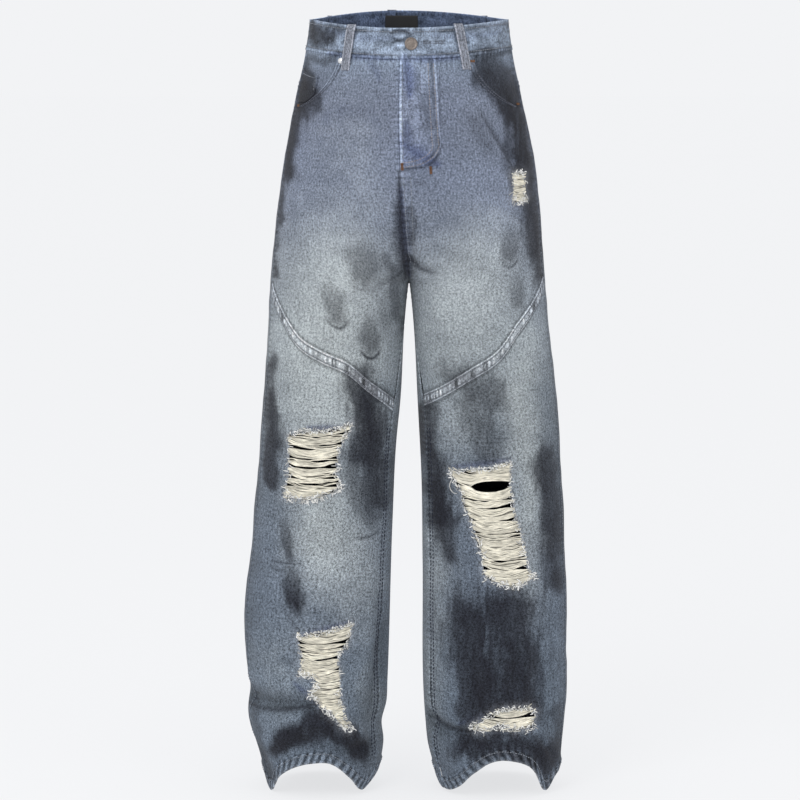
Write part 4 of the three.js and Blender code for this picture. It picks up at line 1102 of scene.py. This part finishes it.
def thigh_welt(side):
    """The raised welt over the thigh seam: pale folded edges, two sunk stitch lines, and between
    them short ridges with pale crests. The pale edges and crests are painted highlights and the
    stitch lines painted shade."""
    last = inseam(thigh_seam[side](1.0)) - 0.008
    p, q = np.linspace(0, 1, 220)[None], np.linspace(-1, 1, 15)[:, None]
    v = OUTSEAM + 0.006 + (last - OUTSEAM - 0.006) * p + 0 * q
    run = v * SLANT
    ridge = np.sin(2 * np.pi * run / 7.2 + 2.4 * noise(run, 0 * run, 13, 44))
    groove = hump(np.abs(q), 0.62, 1 / 8)
    lift = 2.1 * (1 - np.abs(q) ** 6) + 0.3 - 0.5 * groove + 0.35 * ridge * (1 - q * q)
    crest_highlight = ease((noise(run, q * 9, 3.4, 47) - 0.25) * 3) * ease(ridge)
    # The paint: painted highlight on the folded edges and the ridge crests, painted light and shade along the
    # ridges, painted shade in the stitch grooves, and a few dark spots.
    paint = 1.15 + 1.2 * hump(np.abs(q), 0.9, 1 / 9) - 0.75 * groove + 0.3 * ridge * (1 - np.abs(q))
    paint = paint + 1.3 * crest_highlight * (np.abs(q) < 0.5) - 0.6 * ease((noise(run, 0 * run, 8, 48) - 0.55) * 6)
    panel(f"thigh_welt_{SIDES[side]}", side, v, thigh_seam[side](v) + WELT_HALF * q, lift,
          thick=0.9, crimp=0, seam=0.3, paint=np.clip(paint, 0.25, 2.6))


def pocket_facing(side):
    """The cloth behind the pocket mouth: sunk, and rising to the seams that hold it."""
    p, q = grid(40, 44)
    top, past_mouth = -39, 18
    z = top + (MOUTH_BOTTOM - past_mouth - top) * q
    last = mouth_v(z) + 0.07
    v = OUTSEAM + EDGE + (last - OUTSEAM - EDGE) * p
    sewn = np.maximum(1 - ease((v - OUTSEAM) * ROUND / 14), 1 - ease((band_bottom(v) - z) / 14))
    free = ease(((mouth_v(z) - v) * ROUND - 4) / 12)
    panel(f"pocket_facing_{SIDES[side]}", side, v, z + 0 * p, out=-2.4 + 2.2 * sewn * free, crimp=0,
          shade=0.85)


def coin_pocket():
    """The small pocket on the right facing, its slanting top edge rolled outwards."""
    p, q = grid(26, 30)
    top, foot = -70 - 7 * p, -113
    z = top + (foot - top) * q
    last = np.minimum(0.39, mouth_v(z) - 0.03)
    v = OUTSEAM + 0.015 + (last - OUTSEAM - 0.015) * p
    panel("coin_pocket", RIGHT, v, z, out=-1.2 + 0.3 * np.exp(-q * 12), thick=0.9, crimp=0, shade=0.8)


def fly():
    """The lap over the closure, curving in to the centre at its foot along a quarter ellipse."""
    p, q = grid(26, 80)
    top = band_bottom(0.9) - 0.5
    z = top + (FLY_BOTTOM - top) * np.sin(np.pi / 2 * q)
    bend = 36
    curve = np.clip((FLY_BOTTOM + bend - z) / bend, 0, 1)
    width = 0.2 * np.sqrt(1 - 0.98 * curve * curve)
    v = 1 - width + width * p
    run = ROUND * (1 - v)
    lift = 1.15 + 0.25 * np.sin(z / 3.1) * hump(p, 1, 1 / 9)
    # The paint: a painted highlight down the centre front rim, mottling, and a painted highlight on the lap's
    # outer edge with painted shade just inside it.
    paint = 1 + 0.35 * hump(run, 1.2, 1.2) + 0.25 * noise(run, z * 0.12, 5, 85) + 0.2 * noise(run, z, 7, 86)
    paint = paint + 0.6 * hump(p, 0, 0.05) - 0.35 * hump(p, 0.1, 0.05)
    panel("fly", LEFT, v, z + 0 * p, out=lift, thick=1.0, crimp=0.3, shade=1.2, paint=paint)


# ---- Back, waistband, hems and loops -------------------------------------------------------

def back_v(p, height):
    """v across the back, from the outseam to the middle line, or below the crotch to the inseam."""
    last = np.where(height > CROTCH, -1, -2 + inseam(height) + EDGE)
    return OUTSEAM - EDGE + (last - OUTSEAM + EDGE) * p


def yoke(side):
    """From the waistband down to the yoke's seam."""
    p, q = grid(76, 24)
    v = back_v(p, 0.0)
    top = band_bottom(v) - SEAM_GAP
    panel(f"yoke_{SIDES[side]}", side, v + 0 * q, top + (yoke_seam(v) + 0.2 - top) * q)


def back(side):
    """From the yoke down to the hem, round the inside of the leg to the inseam."""
    at_hem = hem_line(side, -2 + INSEAM) + HEM_HEIGHT
    heights = np.concatenate([np.linspace(-128, -330, 62), np.linspace(-333, -366, 20)[:-1],
                              np.linspace(-366, at_hem, 180)])[:, None]
    v = back_v(np.linspace(0, 1, 84)[None], heights)
    share = (heights - heights[0]) / (at_hem - heights[0])
    top = yoke_seam(np.maximum(v, -1)) - 0.2
    panel(f"back_{SIDES[side]}", side, v, top + (hem_line(side, v) + HEM_HEIGHT - top) * share)


def pocket_place(p, q):
    """v and z on a back pocket: straight top and sides and a pointed foot."""
    top = -158 - 4 * p
    foot = -282 - 20 * (1 - np.abs(2 * p - 1))
    return -0.28 - 0.02 * q - (0.52 - 0.05 * q) * p, top + (foot - top) * q


def back_pocket(side):
    """A patch with a thick top edge, puckered by the stitching round its other three."""
    p, q = np.meshgrid(np.linspace(0, 1, 57), np.linspace(0, 1, 50))
    v, z = pocket_place(p, q)
    edge = np.minimum(np.minimum(p, 1 - p), 1 - q)
    lift = 1.5 + 0.5 * np.exp(-q * 20) + 0.3 * np.sin(z / 1.4) * np.exp(-edge * 25)
    rim = np.minimum(np.minimum(p, 1 - p) * 105, np.minimum(1 - q, q + 0.02) * 130)
    # The paint: a painted highlight on the folded rim, painted shade in a band just inside it, and stripes of
    # painted light and shade along the puckers.
    paint = 1.12 + 0.7 * hump(rim, 1, 1.5) - 0.35 * hump(rim, 5.5, 2.5)
    paint = paint + 0.2 * np.sin(z / 1.4 + v * 160) * np.exp(-rim / 9)
    panel(f"back_pocket_{SIDES[side]}", side, v, z, out=lift, thick=1.2, crimp=0, paint=paint)


def waistband():
    """A ring round the waist, rolled at both edges and puckered beside them. The left end laps
    over the right one at the centre front, and painted shade darkens the cloth beside each belt loop."""
    rows, half = 19, 160
    q = np.linspace(0, 1, rows)[:, None]
    parts = []
    for side in (RIGHT, LEFT):
        t = np.linspace(0, 2, half, endpoint=False) + 0 * q
        v = 1 - t if side == RIGHT else t - 1
        z = band_top(v) - BAND_HEIGHT * q
        run = v * ROUND
        roll = 0.5 * hump(q, 0.03, 1 / 22) + 0.45 * hump(q, 0.94, 1 / 22)
        crimp = 0.35 * np.sin(v * 170 + 5 * noise(v * 300, z, 30, 81)) * np.exp(-np.minimum(q, 1 - q) * 9)
        crimp = crimp + 0.45 * noise(run, z * 3, 16, 84) * np.sin(np.pi * q)
        lap = 1.2 * ease((v - 0.86) / 0.1) * (side == LEFT)
        p = cloth(side, v, z, 0.6 + roll + crimp + lap)
        # Painted shade along both stitch lines; the rolled edges paler, both worn and painted as highlight;
        # painted light and shade on the puckers; mottling, with painted shade beside each belt loop; and a
        # painted highlight on the left end.
        line = hump(q, 0.14, 1 / 26) + 1.3 * hump(q, 0.87, 1 / 26)
        worn = 0.5 * hump(q, 0, 1 / 22) + 0.4 * hump(q, 0.97, 1 / 24)
        mottle = 0.34 * noise(run, z * 2.4, 11, 82) + 0.3 * noise(run + z, z * 2, 4.5, 83)
        for loop_side, at, lean, top in LOOPS.values():
            beside = np.abs(v - at - lean * (top - z) / LOOP_LENGTH) * ROUND
            mottle = mottle - 0.5 * hump(beside, 8.2, 1.5) * (loop_side == side)
        end = 0.6 * hump(v, 0.994, 1 / 120) * (side == LEFT)
        colour = tint(side, v, p)
        colour[..., :3] *= np.clip(1 - 0.38 * line + worn + 0.8 * crimp + mottle + end, 0.15, 2.5)[..., None]
        uv = lengths(side, v, z).reshape(rows, half, 2)
        parts.append((p, colour, outward(side, v, z), uv))
    p, colour, out, uv = (np.concatenate(both, 1) for both in zip(*parts))
    points = p.reshape(-1, 3)
    faces = face_out(points, quads(rows, 2 * half, True), out.reshape(-1, 3))
    obj = make("waistband", points, [faces], BAND, ["waistband"], colour.reshape(-1, 4),
               uv.reshape(-1, 2), 2 * CLOTH)


def hem(side):
    """The turned hem, roped into slanting ridges by its own stitching."""
    q = np.linspace(0, 1, 10)[:, None]
    front, behind = np.linspace(OUTSEAM, INSEAM, 200)[:-1], np.linspace(INSEAM - 2, OUTSEAM, 236)[:-1]
    v = np.concatenate([front, behind]) + 0 * q
    z = hem_line(side, v) + HEM_HEIGHT * (1 - q)
    run = v * ROUND
    rope = np.sin(2 * np.pi * (run + 7 * q) / 9.5 + 2 * noise(run, run * 0, 26, 91))
    lift = 0.75 + 0.55 * rope * np.sin(np.pi * np.clip(q * 1.1, 0, 1)) + 0.5 * hump(q, 0.95, 1 / 7)
    p = cloth(side, v, z, lift)
    colour = tint(side, v, p)
    # The rope's crests carry painted highlight and its troughs painted shade; the folded lower edge is paler.
    pale = 0.035 * (rope > 0.2) + 0.12 * hump(q, 1, 1 / 8)
    colour[..., :3] = colour[..., :3] * (1 + 0.55 * rope)[..., None] + pale[..., None]
    points = p.reshape(-1, 3)
    faces = face_out(points, quads(*v.shape, True), outward(side, v, z).reshape(-1, 3))
    name = f"hem_{SIDES[side]}"
    obj = make(name, points, [faces], DENIM, [name], colour.reshape(-1, 4),
               lengths(side, v, z), 2.4)


def loop_place(name, p, q):
    """Side, v, z and stand-off of a belt loop at p across and q along."""
    side, v, lean, top = LOOPS[name]
    z = top - LOOP_LENGTH * q
    middle = v + lean * q
    reach = np.linalg.norm(plain(side, middle + 0.01, z) - plain(side, middle, z), axis=-1) / 0.01
    return side, middle + p * LOOP_HALF / reach, z + 0 * p, loop_stand(q) + 0 * p


def belt_loop(name):
    """A folded strip that stands off the band, with a ridge and a sunk stitch line near each edge."""
    p, q = np.linspace(-1, 1, 13)[None], np.linspace(0, 1, 44)[:, None]
    side, v, z, stand = loop_place(name, p, q)
    crown = 0.35 * hump(np.abs(p), 0.62, 1 / 5) + 0.12 * np.sin(z * 1.3)
    points = cloth(side, v, z, stand + crown)
    colour = tint(side, v, points)
    # Pale edges, both worn and painted as highlight, painted shade along the stitch lines, and mottling.
    worn = 0.75 + 0.75 * hump(np.abs(p), 0.86, 1 / 6) - 0.3 * hump(np.abs(p), 0.6, 1 / 9)
    worn = worn + 0.25 * noise(p * 20 + 0 * z, z, 5, 87)
    colour[..., :3] = colour[..., :3] * 0.3 + LOOP_GREY * worn[..., None]
    flat = points.reshape(-1, 3)
    faces = face_out(flat, quads(*v.shape), outward(side, v, z).reshape(-1, 3))
    name = f"belt_loop_{name}"
    obj = make(name, flat, [faces], DENIM, [name], colour.reshape(-1, 4),
               lengths(side, v, z), 1.6)


def label():
    """The plain black label inside the back of the waistband, bowed a little off it."""
    p, q = np.meshgrid(np.linspace(-1, 1, 31), np.linspace(0, 1, 12))
    v = -1 + np.abs(p) * 0.11
    z = BACK_TOP - 7 - 24 * q
    inside = 0.6 - 2 * CLOTH - 0.7 - 0.25 * np.cos(p * 7) * q
    right = (p < 0)[..., None]
    points = np.where(right, cloth(RIGHT, v, z, inside), cloth(LEFT, v, z, inside))
    out = np.where(right, outward(RIGHT, v, z), outward(LEFT, v, z)).reshape(-1, 3)
    faces = face_out(points.reshape(-1, 3), quads(*p.shape), -out)
    obj = make("label", points.reshape(-1, 3), [faces], ["label"], ["label"], thick=0.4)


def stud(name, side, v, z, foot, profile, slots, dents=0.0):
    """A turned metal piece on the cloth: its profile (radius, height) swept round the normal,
    with its rim dented round by a sine wave, and a cap at each end."""
    around = 48
    base = cloth(side, v, z, foot)
    n = outward(side, v, z)
    a = np.cross(n, [0, 0, 1.0])
    a /= np.linalg.norm(a)
    b = np.cross(n, a)
    r, h = np.array(profile, float).T[:, :, None]
    turn = np.linspace(0, 2 * np.pi, around, endpoint=False)
    wave = 1 + dents * np.sin(turn * 24)[None] * (r > 5)
    ring = (r * np.cos(turn))[..., None] * a + (r * np.sin(turn))[..., None] * b + (h * wave)[..., None] * n
    points = (base + ring).reshape(-1, 3)
    rings = len(profile)
    faces = quads(rings, around, True)
    corners = points[faces]
    normal = np.cross(corners[:, 1] - corners[:, 0], corners[:, 3] - corners[:, 0])
    if (normal * (corners.mean(1) - points.mean(0))).sum() < 0:
        faces = faces[:, ::-1]
    caps = []
    for start, top in ((0, False), ((rings - 1) * around, True)):
        cap = np.arange(start, start + around)
        a, b, c = points[cap[[0, around // 4, around // 2]]]
        caps.append(cap[None] if (np.cross(b - a, c - a) @ n > 0) == top else cap[None, ::-1])
    make(name, points, [faces, *caps], slots, [name])


# ---- Put together --------------------------------------------------------------------------

threads_in = {name: threads(name) for name in RIPS}
for side in (RIGHT, LEFT):
    for piece in (front_upper, front_lower, thigh_welt, pocket_facing, yoke, back, back_pocket, hem):
        piece(side)
coin_pocket()
fly()
waistband()
label()
for name in LOOPS:
    belt_loop(name)
button_profile = [(0.3, 0), (4, 0), (4, 1), (8.3, 1.5), (8.8, 2.1), (8.6, 2.9), (7.9, 3.3), (7.1, 3.2),
                  (6.5, 2.7), (5.6, 2.5), (4.4, 2.8), (2.5, 3.1), (0.3, 3.2)]
rivet_profile = [(0.2, 0), (4, 0), (4.2, 0.4), (3.4, 0.9), (2.2, 1.1), (1.4, 1.5), (0.2, 1.6)]
stud("button", LEFT, 0.938, -34.5, 2.2, button_profile, ["copper"], 0.03)
stud("rivet", RIGHT, 0.588, -57, 0.5, rivet_profile, ["steel"])

# ---- Stitching: each row is a line of v and z on the cloth -----------------------------------

rows, pucker_shade_rows, fly_rows, mouth_rows = [], [], [], []
t = np.linspace(0, 1, 400)


def pocket_row(side, p, q):
    """A row on a back pocket's own face."""
    v, z = pocket_place(p, q)
    return cloth(side, v, z, 1.6), outward(side, v, z)


for side in (RIGHT, LEFT):
    # both edges of the thigh welt, and the pocket mouth
    v = OUTSEAM + 0.02 + (inseam(thigh_seam[side](1.0)) - OUTSEAM - 0.04) * t
    rows += [row_on(side, v, thigh_seam[side](v) + at, 1.9) for at in (-5.1, 5.1)]
    mouth = np.linspace(MOUTH_TOP - 3, MOUTH_BOTTOM + 2, 300)
    mouth_rows += [row_on(side, mouth_v(mouth) + EDGE + at / ROUND, mouth, 0.1) for at in (2.5, 8.5)]
    # both edges of the waistband, the outseam and the inseam
    v = 1 - 1.96 * t
    rows += [row_on(side, v, band_top(v) - at, 1.2) for at in (5.5, 36.5)]
    z = -60 - 955.2 * t
    rows += [row_on(side, OUTSEAM - 4 / ROUND, z[z > hem_line(side, OUTSEAM) + 20], 0.1)]
    z = -560 - 470 * t
    # the inseam's rows are sewn near black, as painted shade of the puckers along it
    pucker_shade_rows += [row_on(side, inseam(z) - at / ROUND, z, 0.2) for at in (3, 8)]
    # the hem, in two halves, and the yoke
    for v in (OUTSEAM - 0.01 + (INSEAM - OUTSEAM) * t, INSEAM - 2 + (OUTSEAM - INSEAM + 2) * t):
        rows += [row_on(side, v, hem_line(side, v) + HEM_HEIGHT - 2.5, 1.3)]
    v = OUTSEAM - 0.02 - (0.97 + OUTSEAM) * t
    rows += [row_on(side, v, yoke_seam(np.maximum(v, -1)) + at, 0.1) for at in (3, 8.5)]
    # two rows down, across and up a back pocket, and one under its top edge
    for inset in (0.03, 0.085):
        down = np.linspace(0.01, 1 - inset * 0.8, 200)
        across = np.linspace(inset, 1 - inset, 300)
        p = np.concatenate([np.full(200, inset), across, np.full(200, 1 - inset)])
        q = np.concatenate([down, np.full(300, 1 - inset * 0.8), down[::-1]])
        rows.append(pocket_row(side, p, q))
    rows.append(pocket_row(side, 0.03 + 0.94 * t, 0.07 + 0 * t))
# the fly's J, the centre front below it and beside it, and the centre back
fly_foot = -168
z = np.linspace(-58, fly_foot, 200)
arc = np.linspace(0, np.pi / 2, 120)
for at in (0.0, 0.03):
    v = np.concatenate([np.full(200, 0.815 + at), 1 - (0.185 - at) * np.cos(arc) - 0.003])
    fly_rows.append(row_on(LEFT, v, np.concatenate([z, fly_foot - (32 - at * 200) * np.sin(arc)]), 1.2))
rows += [row_on(LEFT, 1 - at, np.linspace(-212, -338, 200), 0.15) for at in (0.012, 0.045)]
rows.append(row_on(LEFT, 0.985, np.linspace(-60, -192, 200), 1.3))
rows += [row_on(LEFT, -1 + at, np.linspace(-60, -330, 300), 0.15) for at in (0.02, 0.05)]
# the coin pocket's top and side
rows.append(row_on(RIGHT, OUTSEAM + 0.02 + 0.25 * t, -73.5 - 7 * t, -0.9))
rows.append(row_on(RIGHT, 0.37 + 0 * t[:150], np.linspace(-80, -98, 150), -0.9))
for name in LOOPS:
    for p in (-0.6, 0.6):
        side, v, z, stand = loop_place(name, p, np.linspace(0.04, 0.96, 200))
        rows.append((cloth(side, v, z, stand + 0.45), outward(side, v, z)))
sew("stitches", rows, (0.24, 0.26, 0.3))
sew("fly_stitches", fly_rows, (0.36, 0.32, 0.31), radius=0.45)
sew("mouth_stitches", mouth_rows, (0.13, 0.14, 0.175))
# near-black stitches as painted shade of the inseam's puckers
sew("inseam_stitches", pucker_shade_rows, (0.035, 0.04, 0.06), pitch=5.2, length=3.6, radius=0.7)

# The bartacks, each four short rows: side, v, z, whether it lies level, and how far out.
BARTACKS = [(LEFT, 0.992, -199, 0, 1.3), (LEFT, 0.86, -204, 0, 1.3), (RIGHT, 0.2, -118, 1, 0.2),
            (LEFT, 0.2, -116, 1, 0.2), (LEFT, 0.575, -57.5, 1, 0.2)]
tacks = []
span = np.linspace(-6, 6, 60)
for side, v, z, level, out in BARTACKS:
    for k in np.linspace(-1.1, 1.1, 4):
        across, up = (span, k) if level else (k, span)
        tacks.append(row_on(side, np.minimum(v + across / ROUND, 0.999), z + up, out))
sew("bartacks", tacks, (0.2, 0.105, 0.06), pitch=1.7, length=2.2, radius=0.42)

hole = [row_on(LEFT, np.linspace(0.74, 0.87, 60), -32 + k, 1.0) for k in (-1.4, 1.4)]
sew("buttonhole", hole, (0.16, 0.17, 0.2), pitch=0.9, length=1.3, radius=0.5)

# ---- Floor, light and camera ---------------------------------------------------------------

# The floor lies just below the hems, and glows so that it is evenly pale however far it goes.
GROUND = -1.0795
floor_mesh = bpy.data.meshes.new("floor")
floor_mesh.from_pydata([(x, y, GROUND) for x, y in ((-60, -12), (60, -12), (60, 90), (-60, 90))], [],
                       [(0, 1, 2, 3)])
floor = bpy.data.objects.new("floor", floor_mesh)
bpy.context.scene.collection.objects.link(floor)
paint, _, paint_shader = material("floor")
for socket, value in (("Base Color", (0.16, 0.161, 0.163, 1)), ("Emission Color", (0.722, 0.729, 0.744, 1)),
                      ("Emission Strength", 1), ("Roughness", 1), ("Specular IOR Level", 0)):
    paint_shader.inputs[socket].default_value = value
floor_mesh.materials.append(paint)

# The sky lights the cloth a little more strongly than the pale wall that the camera sees.
world = bpy.data.worlds.new("studio")
bpy.context.scene.world = world
world.use_nodes = True
sky = world.node_tree
seen, lit = sky.nodes["Background"], sky.nodes.new("ShaderNodeBackground")
seen.inputs[0].default_value = (0.888, 0.896, 0.913, 1)
lit.inputs[0].default_value = (1, 1, 1, 1)
lit.inputs[1].default_value = 1.02
pick, path = sky.nodes.new("ShaderNodeMixShader"), sky.nodes.new("ShaderNodeLightPath")
for k, socket in enumerate((path.outputs["Is Camera Ray"], lit.outputs[0], seen.outputs[0])):
    sky.links.new(socket, pick.inputs[k])
sky.links.new(pick.outputs[0], sky.nodes["World Output"].inputs["Surface"])


def softbox(name, place, size, power):
    """A square light that faces the middle of the jeans."""
    light = bpy.data.lights.new(name, "AREA")
    light.size, light.energy = size, power
    obj = bpy.data.objects.new(name, light)
    bpy.context.scene.collection.objects.link(obj)
    obj.location = place
    aim = np.array([0, 0, -0.5]) - np.array(place)
    tilt = np.arctan2(np.hypot(aim[0], aim[1]), -aim[2])
    obj.rotation_mode = "XYZ"
    obj.rotation_euler = (float(tilt), 0, float(np.arctan2(aim[1], aim[0]) - np.pi / 2))


softbox("key", (-1.5, -2.6, 1.6), 1.6, 42)
softbox("fill", (2.2, -2.4, 0.4), 2.0, 12)

CAMERA_AWAY, CAMERA_DROP = 4.2, 0.469   # its distance, and how far below it the aimed-at point is
camera_data = bpy.data.cameras.new("camera")
camera_data.lens, camera_data.sensor_width = 135.8, 36
camera_data.clip_end = 200
camera = bpy.data.objects.new("camera", camera_data)
bpy.context.scene.collection.objects.link(camera)
camera.location = (-0.0126, -CAMERA_AWAY, -0.06)
camera.rotation_euler = (float(np.pi / 2 - np.arctan2(CAMERA_DROP, CAMERA_AWAY)), 0, 0)
bpy.context.scene.camera = camera
bpy.context.scene.view_settings.view_transform = "Standard"
